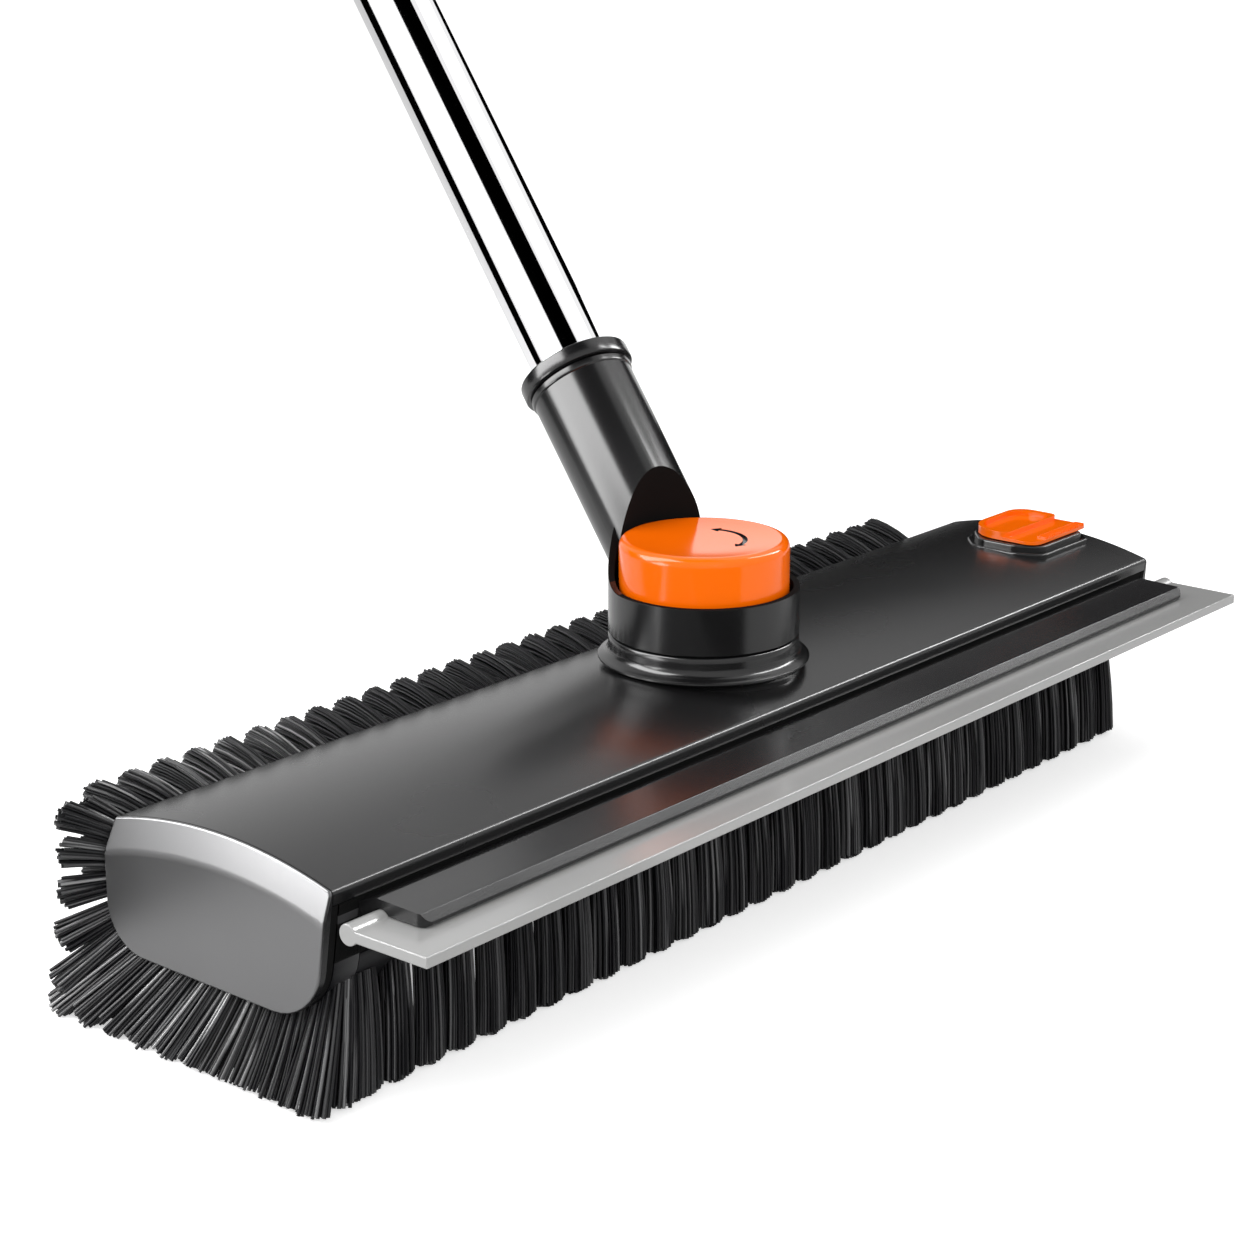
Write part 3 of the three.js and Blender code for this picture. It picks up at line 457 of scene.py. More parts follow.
# ---- Blade rail ----
# A black extrusion hung on the base's front wall. Its round channel holds the blade's bead, and
# its lip runs forward over the blade. The lip's outer corners are rounded.
RAIL_LEFT_X = -192.5
RAIL_RIGHT_X = 195
BEAD_Y = -47.5
BEAD_Z = 50.8
BEAD_RADIUS = 3
CHANNEL_RADIUS = 3.3
SLOT_HALF = 1.9


def arc(bm, start, centre, angle, steps=12):
    """Carries a wire on from start round a centre in the Y-Z plane, and gives its new end."""
    place = (start.co.x, *centre)
    swept = bmesh.ops.spin(
        bm, geom=[start], cent=place, axis=(1, 0, 0), angle=angle, steps=steps,
    )
    return next(item for item in swept["geom_last"] if isinstance(item, bmesh.types.BMVert))


def wire(bm, x, start, points):
    """Carries a wire on through (y, z) points, and gives its new vertices."""
    made = []
    for y, z in points:
        vert = bm.verts.new((x, y, z))
        if start:
            bm.edges.new((start, vert))
        made.append(vert)
        start = vert
    return made


def slab(corners, low, high):
    """A plate drawn in X and Y with rounded corners, each (x, y, radius), from low to high."""
    bm = bmesh.new()
    verts = [bm.verts.new((x, y, low)) for x, y, radius in corners]
    for start, end in zip(verts, verts[1:] + verts[:1]):
        bm.edges.new((start, end))
    for vert, (x, y, radius) in zip(verts, corners):
        if radius:
            round_corner(bm, vert, radius, 6)
    bmesh.ops.edgeloop_fill(bm, edges=bm.edges[:])
    drawn = bmesh.ops.extrude_face_region(bm, geom=bm.faces[:])
    moved = [item for item in drawn["geom"] if isinstance(item, bmesh.types.BMVert)]
    bmesh.ops.translate(bm, vec=(0, 0, high - low), verts=moved)
    return bm


rail = bmesh.new()
mouth = math.asin(SLOT_HALF / CHANNEL_RADIUS)
mouth_y = BEAD_Y - CHANNEL_RADIUS * math.cos(mouth)
foot = wire(rail, RAIL_LEFT_X, None, [
    (-38.1, 45.4), (-52.5, 45.4), (-52.5, BEAD_Z - SLOT_HALF), (mouth_y, BEAD_Z - SLOT_HALF),
])
channel_end = arc(rail, foot[-1], (BEAD_Y, BEAD_Z), 2 * math.pi - 2 * mouth, 24)
lip = wire(rail, RAIL_LEFT_X, channel_end, [
    (-62.4, BEAD_Z + SLOT_HALF), (-63.2, 53.1), (-63.2, 53.9), (-61.3, 56.2), (-46, 56.7),
    (-41.2, 54.6), (-40.1, 54.5),
])
rail.edges.new((lip[-1], foot[0]))
for corner, radius in [
    (foot[1], 2), (lip[1], 0.3), (lip[2], 0.5), (lip[3], 0.3), (lip[4], 3), (lip[5], 2),
]:
    round_corner(rail, corner, radius, 5)
rail = drawn_out(filled(rail), RAIL_RIGHT_X - RAIL_LEFT_X)
rounding = slab([
    (RAIL_LEFT_X, -63.21, 3), (RAIL_RIGHT_X, -63.21, 3), (RAIL_RIGHT_X, -30, 0),
    (RAIL_LEFT_X, -30, 0),
], 40, 62)
rail = combined("INTERSECT", rail, rounding)
rail_piece = add_piece(
    "rail_extrusion", rail, [black], "head", "black_plastic", "blade_rail", sharp=30,
)
even_normals(softened(rail_piece, 0.18, 2, angle=32))

# ---- Squeegee blade ----
# A strip of light grey rubber, 3.2 mm thick, cut square, with a round bead along its back edge
# and a fillet on each side of the bead. It slides in the rail.
BLADE_HALF = 1.6
BLADE_EDGE_Y = -75
BLADE_END_GAP = 0.5
FILLET = 1
blade_bm = bmesh.new()
fillet_y = math.sqrt((BEAD_RADIUS + FILLET) ** 2 - (BLADE_HALF + FILLET) ** 2)
lean = math.atan2(BLADE_HALF + FILLET, fillet_y)
low_fillet = (BEAD_Y - fillet_y, BEAD_Z - BLADE_HALF - FILLET)
high_fillet = (BEAD_Y - fillet_y, BEAD_Z + BLADE_HALF + FILLET)
edge_low = wire(blade_bm, LEFT_X, None, [
    (BLADE_EDGE_Y, BEAD_Z - BLADE_HALF), (BEAD_Y - fillet_y, BEAD_Z - BLADE_HALF),
])
bead_start = arc(blade_bm, edge_low[-1], low_fillet, -(math.pi / 2 - lean), 5)
bead_end = arc(blade_bm, bead_start, (BEAD_Y, BEAD_Z), 2 * (math.pi - lean), 28)
top_start = arc(blade_bm, bead_end, high_fillet, -(math.pi / 2 - lean), 5)
edge_high = wire(blade_bm, LEFT_X, top_start, [(BLADE_EDGE_Y, BEAD_Z + BLADE_HALF)])
blade_bm.edges.new((edge_high[-1], edge_low[0]))
blade_bm = drawn_out(filled(blade_bm), RIGHT_X - BLADE_END_GAP - LEFT_X)
blade_grey = moulded(
    "grey_blade_rubber", (0.3, 0.3, 0.297), (0.35, 0.35, 0.346), (0.16, 0.22), grain=0.03,
    specular=0.7,
)
blade_piece = add_piece(
    "blade_strip", blade_bm, [blade_grey], "blade", "blade_rubber", "squeegee_blade",
)
even_normals(softened(blade_piece, 0.35, 3, angle=40))

# ---- Blade latch ----
# A charcoal two-tier bezel on the cover carries an orange slider with a thumb scoop at the back,
# a flat tongue in front and a row of teeth. It draws a spring bolt back from the blade.
BEZEL_TOP_Z = 68
SLIDER_LEFT_X = 170.5
SLIDER_RIGHT_X = 205.6
SLIDER_BACK_Y = 13
FIRST_TOOTH_X = 178
TOOTH_COUNT = 17
TOOTH_PITCH = 1.6
TOOTH_WIDTH = 0.8


def bezel_outline(inset):
    """The bezel's corners, each with its radius, drawn in by an inset."""
    left, right, front, back = 166.5 + inset, 206 - inset, -20 + inset, 15.5 - inset
    return [
        (left + 4.5, front, 4), (right - 4.5, front, 3), (right, front + 5.5, 3),
        (right, back - 6, 4), (right - 6, back, 4), (left + 9, back, 6), (left, back - 8, 6),
        (left, front + 9.5, 5),
    ]


bezel = joined(
    slab(bezel_outline(0), 58, BEZEL_TOP_Z - 2.2), slab(bezel_outline(1.8), 60, BEZEL_TOP_Z),
)
bezel_piece = add_piece(
    "latch_tray", bezel, [charcoal], "head", "black_plastic", "latch_bezel",
)
even_normals(softened(bezel_piece, 0.6, 4))

orange = moulded(
    "orange_gloss", (0.93, 0.135, 0.0), (1, 0.155, 0.0), (0.12, 0.15), grain=0.01, scale=700,
    specular=0.3,
)
slider_z = BEZEL_TOP_Z + PLAY
slider_back = [(SLIDER_RIGHT_X, SLIDER_BACK_Y, 7), (SLIDER_LEFT_X, SLIDER_BACK_Y, 12)]
tongue = slab(
    [(SLIDER_LEFT_X, -16.5, 5), (SLIDER_RIGHT_X, -16.5, 2), *slider_back],
    slider_z, slider_z + 1.2,
)
rim = slab(
    [(SLIDER_LEFT_X, -4.5, 3), (SLIDER_RIGHT_X, -4.5, 3), *slider_back],
    slider_z + 0.5, slider_z + 3,
)
scoop = slab(
    [(172.6, -3, 3.5), (202.6, -3, 3), (202.6, 11.2, 5.5), (172.6, 11.2, 10)],
    slider_z + 1.35, slider_z + 6,
)
slider = combined("DIFFERENCE", combined("UNION", tongue, rim), scoop)
teeth = []
for number in range(TOOTH_COUNT):
    left = FIRST_TOOTH_X + TOOTH_PITCH * number
    right = left + TOOTH_WIDTH
    teeth.append(slab(
        [(left, -16.3, 0.2), (right, -16.3, 0.2), (right, -12.5, 0.2), (left, -12.5, 0.2)],
        slider_z + 0.8, slider_z + 1.9,
    ))
slider_piece = add_piece(
    "latch_thumb_slider", joined(slider, *teeth), [orange], "latch", "orange_plastic",
    "latch_slider",
)
even_normals(softened(slider_piece, 0.3, 3))
finish_node("latch_bolt", black)
finish_node("latch_spring", zinc)

# ---- Swivel brake ----
# Under the cover's boss a rubber ring and a cone on the button's stem hold the neck. A steel clip
# keeps the neck's hub in the boss.
brake_rubber = moulded(
    "brake_rubber", (0.03, 0.03, 0.03), (0.045, 0.045, 0.044), (0.6, 0.75), grain=0.3, scale=800,
)
finish_node("clutch_ring", brake_rubber)
finish_node("retaining_clip", zinc)
for name, finish in [
    ("lock_stem", black), ("brake_cone", black), ("cone_screw", zinc), ("button_spring", zinc),
]:
    finish_node(name, finish)

# ---- Neck socket ----
# One charcoal moulding: a turned collar that sits on the boss, an arch that clears the thumb and
# a tube that leans back and takes the pole. The well round the button is left matt black.
NECK_TURN = Matrix.Rotation(math.radians(-13.2), 4, "Z")
NECK_TILT = math.radians(42.8)
TUBE_PLACE = Matrix.Translation((0, 0, 71.85)) @ Matrix.Rotation(-NECK_TILT, 4, "X")
NECK_FOOT_Z = 74.05
RIM_Z = 89
ARCH_STEPS = 12
SOCKET_LENGTH = 95.7
COLLAR_RADIUS = 30
WELL_RADIUS = 28
WELL_FLOOR_Z = 77
WELL_TAPER_Z = 98
WELL_TAPER = 0.1777


def placed(bm, matrix):
    """Moves a shape into place."""
    bm.transform(matrix)
    return bm


def bezier(start, bend, end, share):
    """A point on the curve from start to end, drawn out towards a bend."""
    return start * (1 - share) ** 2 + bend * (2 * share * (1 - share)) + end * share**2


def below_arch():
    """All that stays of the collar: level at the front, then sweeping up the sides of the tube."""
    bm = bmesh.new()
    line = wire(bm, -40, None, [(-40, 60), (40, 60), (40, RIM_Z + 50), (24, RIM_Z + 13)])
    for step in range(1, ARCH_STEPS + 1):
        share = step / ARCH_STEPS
        point = (bezier(24, 19, 6, share), bezier(RIM_Z + 13, RIM_Z + 1, RIM_Z, share))
        line += wire(bm, -40, line[-1], [point])
    line += wire(bm, -40, line[-1], [(-40, RIM_Z)])
    bm.edges.new((line[-1], line[0]))
    return drawn_out(filled(bm), 80)


cup = spun([
    (0, NECK_FOOT_Z), (COLLAR_RADIUS - 0.5, NECK_FOOT_Z), (COLLAR_RADIUS, 74.5),
    (COLLAR_RADIUS, 130), (0, 130),
], 128)
collar = combined("INTERSECT", cup, below_arch())
tube = placed(spun([
    (0, 8), (16.5, 8), (17, SOCKET_LENGTH - 2.6), (17.35, SOCKET_LENGTH - 2.3),
    (17.5, SOCKET_LENGTH - 1.9), (17.5, SOCKET_LENGTH - 0.4), (17.1, SOCKET_LENGTH),
    (0, SOCKET_LENGTH),
], 96), TUBE_PLACE)
above_boss = slab([(-60, -60, 0), (60, -60, 0), (60, 120, 0), (-60, 120, 0)], NECK_FOOT_Z, 200)
tube = combined("INTERSECT", tube, above_boss)
neck = combined("UNION", collar, tube)
well = spun([
    (0, WELL_FLOOR_Z), (WELL_RADIUS, WELL_FLOOR_Z), (WELL_RADIUS, WELL_TAPER_Z), (23.7, 122.2),
    (19, 140), (0, 140),
], 128)
bore = placed(spun([(0, 59.7), (13, 59.7), (13, 200), (0, 200)], 64), TUBE_PLACE)
neck = combined("DIFFERENCE", neck, well, bore)
neck.normal_update()
for face in neck.faces:
    middle = face.calc_center_median()
    radius = math.hypot(middle.x, middle.y)
    in_well = radius < WELL_RADIUS + 0.1 - max(0, middle.z - WELL_TAPER_Z) * WELL_TAPER
    inside_collar = radius < COLLAR_RADIUS - 0.2
    on_sweep = inside_collar and RIM_Z + 0.5 < middle.z < 110 and abs(face.normal.z) < 0.9
    above_floor = middle.z > WELL_FLOOR_Z + 0.1
    face.material_index = 1 if above_floor and (in_well or on_sweep) else 0
neck_piece = add_piece(
    "neck_moulding", placed(neck, NECK_TURN), [charcoal, matt_black], "neck", "charcoal_shell",
    "neck_socket", sharp=28,
)
even_normals(softened(neck_piece, 0.6, 3, angle=35))

# ---- Release button ----
# A gloss orange cap with a rounded edge and a faintly dished top. A groove in the shape of a
# turning arrow marks it, and its faces are painted black as painted shade in the narrow groove.
GROOVE_FLOOR_Z = 102.6
GROOVE_CUT = 3


def turning_arrow():
    """The groove: a quarter ring with an arrow head at each end."""
    bm = bmesh.new()
    start = [bm.verts.new((radius, 0, GROOVE_FLOOR_Z)) for radius in (11.9, 13.5)]
    bm.edges.new(start)
    bmesh.ops.spin(
        bm, geom=bm.verts[:] + bm.edges[:], cent=(0, 0, 0), axis=(0, 0, 1), angle=1.72, steps=24,
    )
    bmesh.ops.rotate(bm, cent=(0, 0, 0), matrix=Matrix.Rotation(-1.18, 3, "Z"), verts=bm.verts)
    drawn = bmesh.ops.extrude_face_region(bm, geom=bm.faces[:])
    moved = [item for item in drawn["geom"] if isinstance(item, bmesh.types.BMVert)]
    bmesh.ops.translate(bm, vec=(0, 0, GROOVE_CUT), verts=moved)
    heads = []
    for angle, way in [(-1.15, -1), (0.5, 1)]:
        corners = []
        for radius, beyond in [(10.6, 0), (14.8, 0), (12.7, 3.2)]:
            turn = angle + way * beyond / radius
            corners.append((radius * math.cos(turn), radius * math.sin(turn), 0.3))
        heads.append(slab(corners, GROOVE_FLOOR_Z, GROOVE_FLOOR_Z + GROOVE_CUT))
    return combined("UNION", bm, *heads)


button = spun([
    (0, 97.5), (5.3, 97.5), (5.3, 88), (8.5, 88), (8.5, 100.2), (24.5, 100.2), (24.5, 82.3),
    (26.7, 82.3), (26.7, 101), (26.62, 101.9), (26.35, 102.75), (25.9, 103.4), (25.3, 103.8),
    (24.6, 103.98), (23.8, 104), (21, 103.7), (16, 103.45), (12, 103.3), (6, 103.22), (0, 103.2),
], 160)
button = combined("DIFFERENCE", button, turning_arrow())
# The groove's faces take black: painted shade in the groove.
for face in button.faces:
    middle = face.calc_center_median()
    in_groove = 102 < middle.z < 103.2 and 10 < math.hypot(middle.x, middle.y) < 15.5
    face.material_index = 1 if in_groove else 0
button_piece = add_piece(
    "button_cap", placed(button, NECK_TURN), [orange, black], "button", "orange_plastic",
    "release_button", sharp=28,
)
even_normals(softened(button_piece, 0.2, 2, angle=35))

# ---- Pole ferrule ----
# A charcoal ring that closes the neck's mouth round the pole, with a turned lip.
POLE_PLACE = NECK_TURN @ TUBE_PLACE
ferrule_start = SOCKET_LENGTH + PLAY
ferrule_end = ferrule_start + 5.5
ferrule = spun([
    (13, ferrule_start), (18.2, ferrule_start), (18.6, ferrule_start + 0.2),
    (18.75, ferrule_start + 0.6), (18.75, ferrule_end - 0.9), (18.6, ferrule_end - 0.4),
    (18, ferrule_end), (13.6, ferrule_end), (13, ferrule_end - 0.6), (13, ferrule_start),
])
add_piece(
    "ferrule_ring", placed(ferrule, POLE_PLACE), [charcoal], "neck", "charcoal_shell",
    "pole_ferrule",
)

# ---- Lower pole ----
# A polished, chromed 25.4 mm tube, plugged at its foot and clamped in the neck.
TUBE_WALL = 1
LOWER_RADIUS = 12.7
chrome = moulded(
    "polished_chrome", (0.86, 0.86, 0.87), (0.9, 0.9, 0.91), (0.03, 0.06), grain=0.01, scale=300,
    metallic=1,
)


def tube_profile(radius, start, end):
    """A tube's wall, with its outer edges broken."""
    inner = radius - TUBE_WALL
    return [
        (inner, start), (radius - 0.2, start), (radius, start + 0.2), (radius, end - 0.2),
        (radius - 0.2, end), (inner, end), (inner, start),
    ]


lower = spun(tube_profile(LOWER_RADIUS, 60, 430), 128)
add_piece("lower_tube", placed(lower, POLE_PLACE), [chrome], "neck", "chromed_tube", "lower_pole")
finish_node("pole_plug", black)

# ---- Lock sleeve and lock nut ----
# The telescopic joint: a black sleeve on the lower tube, and a fluted nut that clamps the upper
# tube in its split cone.
sleeve = spun([
    (13, 412), (16, 412), (16.4, 412.4), (16.4, 418.2), (16.1, 418.6), (14.6, 418.6), (14.6, 447),
    (12.9, 452), (11.3, 452), (11.3, 430.3), (13, 430.3), (13, 412),
])
add_piece(
    "lock_sleeve_body", placed(sleeve, POLE_PLACE), [black], "neck", "black_plastic",
    "lock_sleeve",
)
FLUTE_COUNT = 8
nut = spun([
    (14.9, 419), (17.2, 419), (17.6, 419.4), (17.6, 449), (17.3, 450.2), (16.2, 456), (15.4, 457.2),
    (13.6, 458), (11.3, 458), (11.3, 454.5), (13.2, 452.4), (14.9, 447.4), (14.9, 419),
])
flutes = []
for number in range(FLUTE_COUNT):
    flute = spun([(0, 423.5), (0.9, 423.8), (1.5, 425), (1.5, 445), (0.9, 446.2), (0, 446.5)], 20)
    turn = Matrix.Rotation(number * 2 * math.pi / FLUTE_COUNT, 4, "Z")
    flutes.append(placed(flute, turn @ Matrix.Translation((18.2, 0, 0))))
nut = combined("DIFFERENCE", nut, *flutes)
nut_piece = add_piece(
    "lock_nut_body", placed(nut, POLE_PLACE), [black], "lock_collar", "black_plastic",
    "lock_nut",
)
even_normals(softened(nut_piece, 0.3, 2, angle=35))

# ---- Upper pole ----
# A drawn and anodised aluminium tube that slides in the lower one on a guide bush.
UPPER_RADIUS = 11
aluminium = moulded(
    "anodised_aluminium", (0.3, 0.3, 0.31), (0.36, 0.36, 0.37), (0.34, 0.42), grain=0.05,
    scale=2200, metallic=1,
)
upper = spun(tube_profile(UPPER_RADIUS, 105, 640), 96)
add_piece(
    "upper_tube", placed(upper, POLE_PLACE), [aluminium], "grip_pole", "aluminium_tube",
    "upper_pole",
)
finish_node("pole_bush", black)

# ---- Grip ----
# A closed-cell foam sleeve with turned finger grooves, and a moulded cap on the tube's end.
GROOVE_PITCH = 24
foam = moulded(
    "grip_foam", (0.014, 0.014, 0.015), (0.024, 0.024, 0.024), (0.75, 0.9), grain=0.6, scale=650,
)
grip_profile = [(11.3, 500), (13.6, 500), (14.6, 500.8), (15.6, 503)]
for start in range(520, 609, GROOVE_PITCH):
    grip_profile += [
        (16, start - 2), (15.8, start - 0.4), (15.1, start + 0.9), (14.8, start + 1.6),
        (15.1, start + 2.3), (15.8, start + 3.6), (16, start + 5.2),
    ]
grip_profile += [(15.6, 622), (14.9, 624.2), (14, 625), (11.3, 625), (11.3, 500)]
grip = spun(grip_profile, 64)
add_piece(
    "grip_foam_sleeve", placed(grip, POLE_PLACE), [foam], "grip_pole", "grip_foam",
    "grip_sleeve",
)
grip_end = spun([
    (0, 640.3), (11.3, 640.3), (11.3, 625.3), (14.2, 625.3), (15, 626), (15.2, 627.3),
    (15.2, 641.3), (14.9, 643), (13.8, 644.9), (12.4, 646), (10.5, 646.3), (0, 646.3),
], 64)
add_piece(
    "grip_end_cap", placed(grip_end, POLE_PLACE), [black], "grip_pole", "black_plastic",
    "grip_cap",
)

# ---- Bristles ----
# Stiff black nylon strands, about a millimetre thick, staple-set in tufts. Four strips carry
# them: along the front, under the head, along the back and round the left end. Each strip is let
# into the base and follows its skin.
TUFT_PITCH = 12.1
FIRST_TUFT = -16
LAST_TUFT = 15
BODY_LEFT_X = LEFT_X + CAP_DEPTH + PLAY
FAN_RIGHT_X = BODY_LEFT_X + 9
STRIP_RIGHT_X = 200
STRIP_DEPTH = 4
STRAND_RINGS = 5
STRAND_END_Z = 0.5
STRAY = 0.2
GOLDEN_TURN = 2.39996
FULL_LEAN = 8
strand_chance = random.Random(7)

# Each strand's shade of black, kept in an attribute of the mesh, is partly a random tone and partly
# painted light and painted shade; the lighter strands are also made smoother and glossier.
bristle = bpy.data.materials.new("black_nylon_strands")
bristle.use_nodes = True
bristle_nodes, bristle_links = bristle.node_tree.nodes, bristle.node_tree.links
bristle_shader = bristle_nodes["Principled BSDF"]
bristle_shade = bristle_nodes.new("ShaderNodeAttribute")
bristle_shade.attribute_name = "strand_shade"
bristle_tone = bristle_nodes.new("ShaderNodeMix")
bristle_tone.data_type = "RGBA"
bristle_tone.inputs["A"].default_value = (0.004, 0.004, 0.005, 1)
bristle_tone.inputs["B"].default_value = (0.22, 0.22, 0.223, 1)
bristle_links.new(bristle_shade.outputs["Fac"], bristle_tone.inputs["Factor"])
bristle_links.new(bristle_tone.outputs["Result"], bristle_shader.inputs["Base Color"])
bristle_rough = bristle_nodes.new("ShaderNodeMapRange")
bristle_rough.inputs["To Min"].default_value = 0.36
bristle_rough.inputs["To Max"].default_value = 0.2
bristle_links.new(bristle_shade.outputs["Fac"], bristle_rough.inputs["Value"])
bristle_links.new(bristle_rough.outputs["Result"], bristle_shader.inputs["Roughness"])
bristle_gloss = bristle_nodes.new("ShaderNodeMapRange")
bristle_gloss.inputs["To Min"].default_value = 0.15
bristle_gloss.inputs["To Max"].default_value = 0.9
bristle_links.new(bristle_shade.outputs["Fac"], bristle_gloss.inputs["Value"])
bristle_links.new(bristle_gloss.outputs["Result"], bristle_shader.inputs["Specular IOR Level"])


def tuft(root, tip, side, bow, root_size, tip_size, count, crown=1):
    """The strands of one tuft, each with a shade of painted light and random tone: they spread from
    the staple hole and bow.
    """
    root, tip, side, bow = Vector(root), Vector(tip), Vector(side), Vector(bow)
    along = (tip - root).normalized()
    over = side.cross(along).normalized()
    strands = []
    for number in range(count):
        out = math.sqrt((number + 0.5) / count)
        turn = number * GOLDEN_TURN + strand_chance.uniform(-STRAY, STRAY)
        across = side * (out * math.cos(turn))
        deep = over * (out * math.sin(turn))
        start = root + across * root_size[0] + deep * root_size[1]
        stray = Vector([strand_chance.uniform(-STRAY, STRAY) for _ in range(3)])
        end = tip + across * tip_size[0] + deep * tip_size[1] + stray
        end -= along * (crown * out**2 + strand_chance.uniform(0, 0.7))
        end.z = max(end.z, STRAND_END_Z)
        bend = (start + end) / 2 + bow + stray * 0.5
        shares = [ring / (STRAND_RINGS - 1) for ring in range(STRAND_RINGS)]
        # Painted light: strands towards one side of the tuft are lighter, as if lit from that side,
        # times a random tone.
        painted_light_and_tone = (0.5 - 0.5 * out * math.cos(turn)) ** 2 * strand_chance.choice((0.15, 0.5, 1))
        strands.append((painted_light_and_tone, [bezier(start, bend, end, share) for share in shares]))
    return strands


def strand_mesh(strands, thickness):
    """Makes strands, each a shade and a list of points in mm, into one mesh of four-sided rods."""
    line = bpy.data.curves.new("strands", "CURVE")
    line.dimensions = "3D"
    line.bevel_depth = thickness / 2
    line.bevel_resolution = 0
    line.use_fill_caps = True
    for _, points in strands:
        spline = line.splines.new("POLY")
        spline.points.add(len(points) - 1)
        for point, place in zip(spline.points, points):
            point.co = (*place, 1)
    rods = bpy.data.objects.new("strands", line)
    bpy.context.scene.collection.objects.link(rods)
    settled = rods.evaluated_get(bpy.context.evaluated_depsgraph_get())
    mesh = bpy.data.meshes.new_from_object(settled)
    bpy.data.objects.remove(rods)
    return mesh


def backing(left, right, trims):
    """A slice of the base's skin, 4 mm deep, that the tufts are set in."""
    skin = drawn_out(head_outline(left), right - left)
    for point, away in trims:
        skin = trimmed(skin, point, away)
    bmesh.ops.recalc_face_normals(skin, faces=skin.faces)
    lowest = min(skin.faces, key=lambda face: face.calc_center_median().z)
    if lowest.normal.z > 0:
        bmesh.ops.reverse_faces(skin, faces=skin.faces)
    bmesh.ops.solidify(skin, geom=skin.faces[:], thickness=STRIP_DEPTH)
    return skin


def bristle_strip(name, strip, strands, node, thickness, brightest=1):
    """Sets strands in their strip with their shades of painted light and tone, scaled by brightest,
    and leaves the strip black.
    """
    for edge in strip.edges:
        edge.smooth = edge.calc_face_angle(0) < math.radians(32)
    rods = strand_mesh(strands, thickness)
    rings = len(rods.vertices) // len(strands)
    first = len(strip.verts)
    strip.from_mesh(rods)
    bpy.data.meshes.remove(rods)
    for face in strip.faces:
        face.smooth = True
    shade = strip.verts.layers.float.new("strand_shade")
    strip.verts.ensure_lookup_table()
    for number, vert in enumerate(strip.verts):
        strand = min(len(strands) - 1, (number - first) // rings)
        # brightest scales a whole strip's strands down: painted shade for strips that lie in
        # shadow.
        vert[shade] = 0 if number < first else brightest * strands[strand][0]
    bmesh.ops.scale(strip, vec=(0.001, 0.001, 0.001), verts=strip.verts)
    mesh = bpy.data.meshes.new(name)
    strip.to_mesh(mesh)
    strip.free()
    mesh.materials.append(bristle)
    piece = bpy.data.objects.new(name, mesh)
    bpy.context.scene.collection.objects.link(piece)
    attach(piece, "head")
    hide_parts(node)


def along_head(root, tip, lean, bow, root_size, tip_size, count, crown=1, odd=0, every=1):
    """A row of tufts along the head. They lean to the left end, and the first few lean further."""
    strands = []
    for place in range(FIRST_TUFT + odd, LAST_TUFT + 1, every):
        tip_x = place * TUFT_PITCH
        root_x = tip_x + lean + max(0, FULL_LEAN - lean - 2 * (place - FIRST_TUFT))
        ends = (root_x, *root), (tip_x, *tip)
        strands += tuft(*ends, (1, 0, 0), bow, root_size, tip_size, count, crown)
    return strands


row_start = FAN_RIGHT_X + PLAY
front_strip = backing(
    row_start, STRIP_RIGHT_X, [((0, -22.3, 0), (0, 1, 0)), ((0, 0, 38), (0, 0, 1))],
)
front_rows = along_head((-32.6, 31), (-41, 0), 8, (0, -1.2, 1.5), (4.2, 3), (5, 3.6), 96, 1.4)
front_rows += tuft(
    (-188.8, -32.6, 31), (-198.4, -41, 0), (1, 0, 0), (0, -1.2, 1.5), (4.8, 3), (7.4, 3.6),
    140, 1.4,
)
# The front tufts are painted at half brightness: painted shade under the rail and blade.
bristle_strip("bristle_rows_front", front_strip, front_rows, "bristles_front", 0.85, 0.5)

bottom_strip = backing(
    row_start, STRIP_RIGHT_X,
    [((0, -22, 0), (0, -1, 0)), ((0, 36, 0), (0, 1, 0)), ((0, 0, 38), (0, 0, 1))],
)
bottom_rows = []
for root, tip_y, odd in [
    ((31, 23.5), 45, 1), ((21.5, 23.4), 30, 0), ((11, 23.3), 15, 1), ((0.5, 23.2), 0, 0),
    ((-9, 23.1), -13, 1), ((-18, 23), -26, 0),
]:
    bottom_rows += along_head(
        root, (tip_y, 0), 6, (0, 0, 0), (2.6, 2.6), (6, 5), 46, odd=odd, every=2,
    )
# The tufts underneath are painted darker still: painted shade under the head.
bristle_strip("bristle_rows_underneath", bottom_strip, bottom_rows, "bristles_bottom", 0.9, 0.3)

back_strip = backing(
    row_start, STRIP_RIGHT_X, [((0, 36.3, 0), (0, -1, 0)), ((0, 0, 55), (0, 0, 1))],
)
back_rows = []
# Each row: root, tip, lean, bow, sizes, strand count and its shade; the rows below the first are
# painted darker, as painted shade under the top row.
for root, tip, lean, bow, sizes, count, shade in [
    ((43, 52.5), (65.5, 60.5), 2, (0, 0, 2.5), ((3.1, 2.4), (4.5, 4.2)), 54, 1),
    ((43, 52), (63.5, 56), 2, (0, 0, 2), ((5.2, 1.6), (6.2, 2.6)), 26, 0.1),
    ((43.6, 43), (64, 44), 3, (0, 0, 2.5), ((4.6, 2.4), (6, 4.4)), 40, 0.25),
    ((42.6, 32.3), (63, 20), 3, (0, 0, 3), ((4.6, 2.4), (6, 4.4)), 40, 0.25),
]:
    row = along_head(root, tip, lean, bow, *sizes, count, 3)
    back_rows += [(painted_light_and_tone * shade, points) for painted_light_and_tone, points in row]
bristle_strip("bristle_rows_back", back_strip, back_rows, "bristles_back", 0.9)

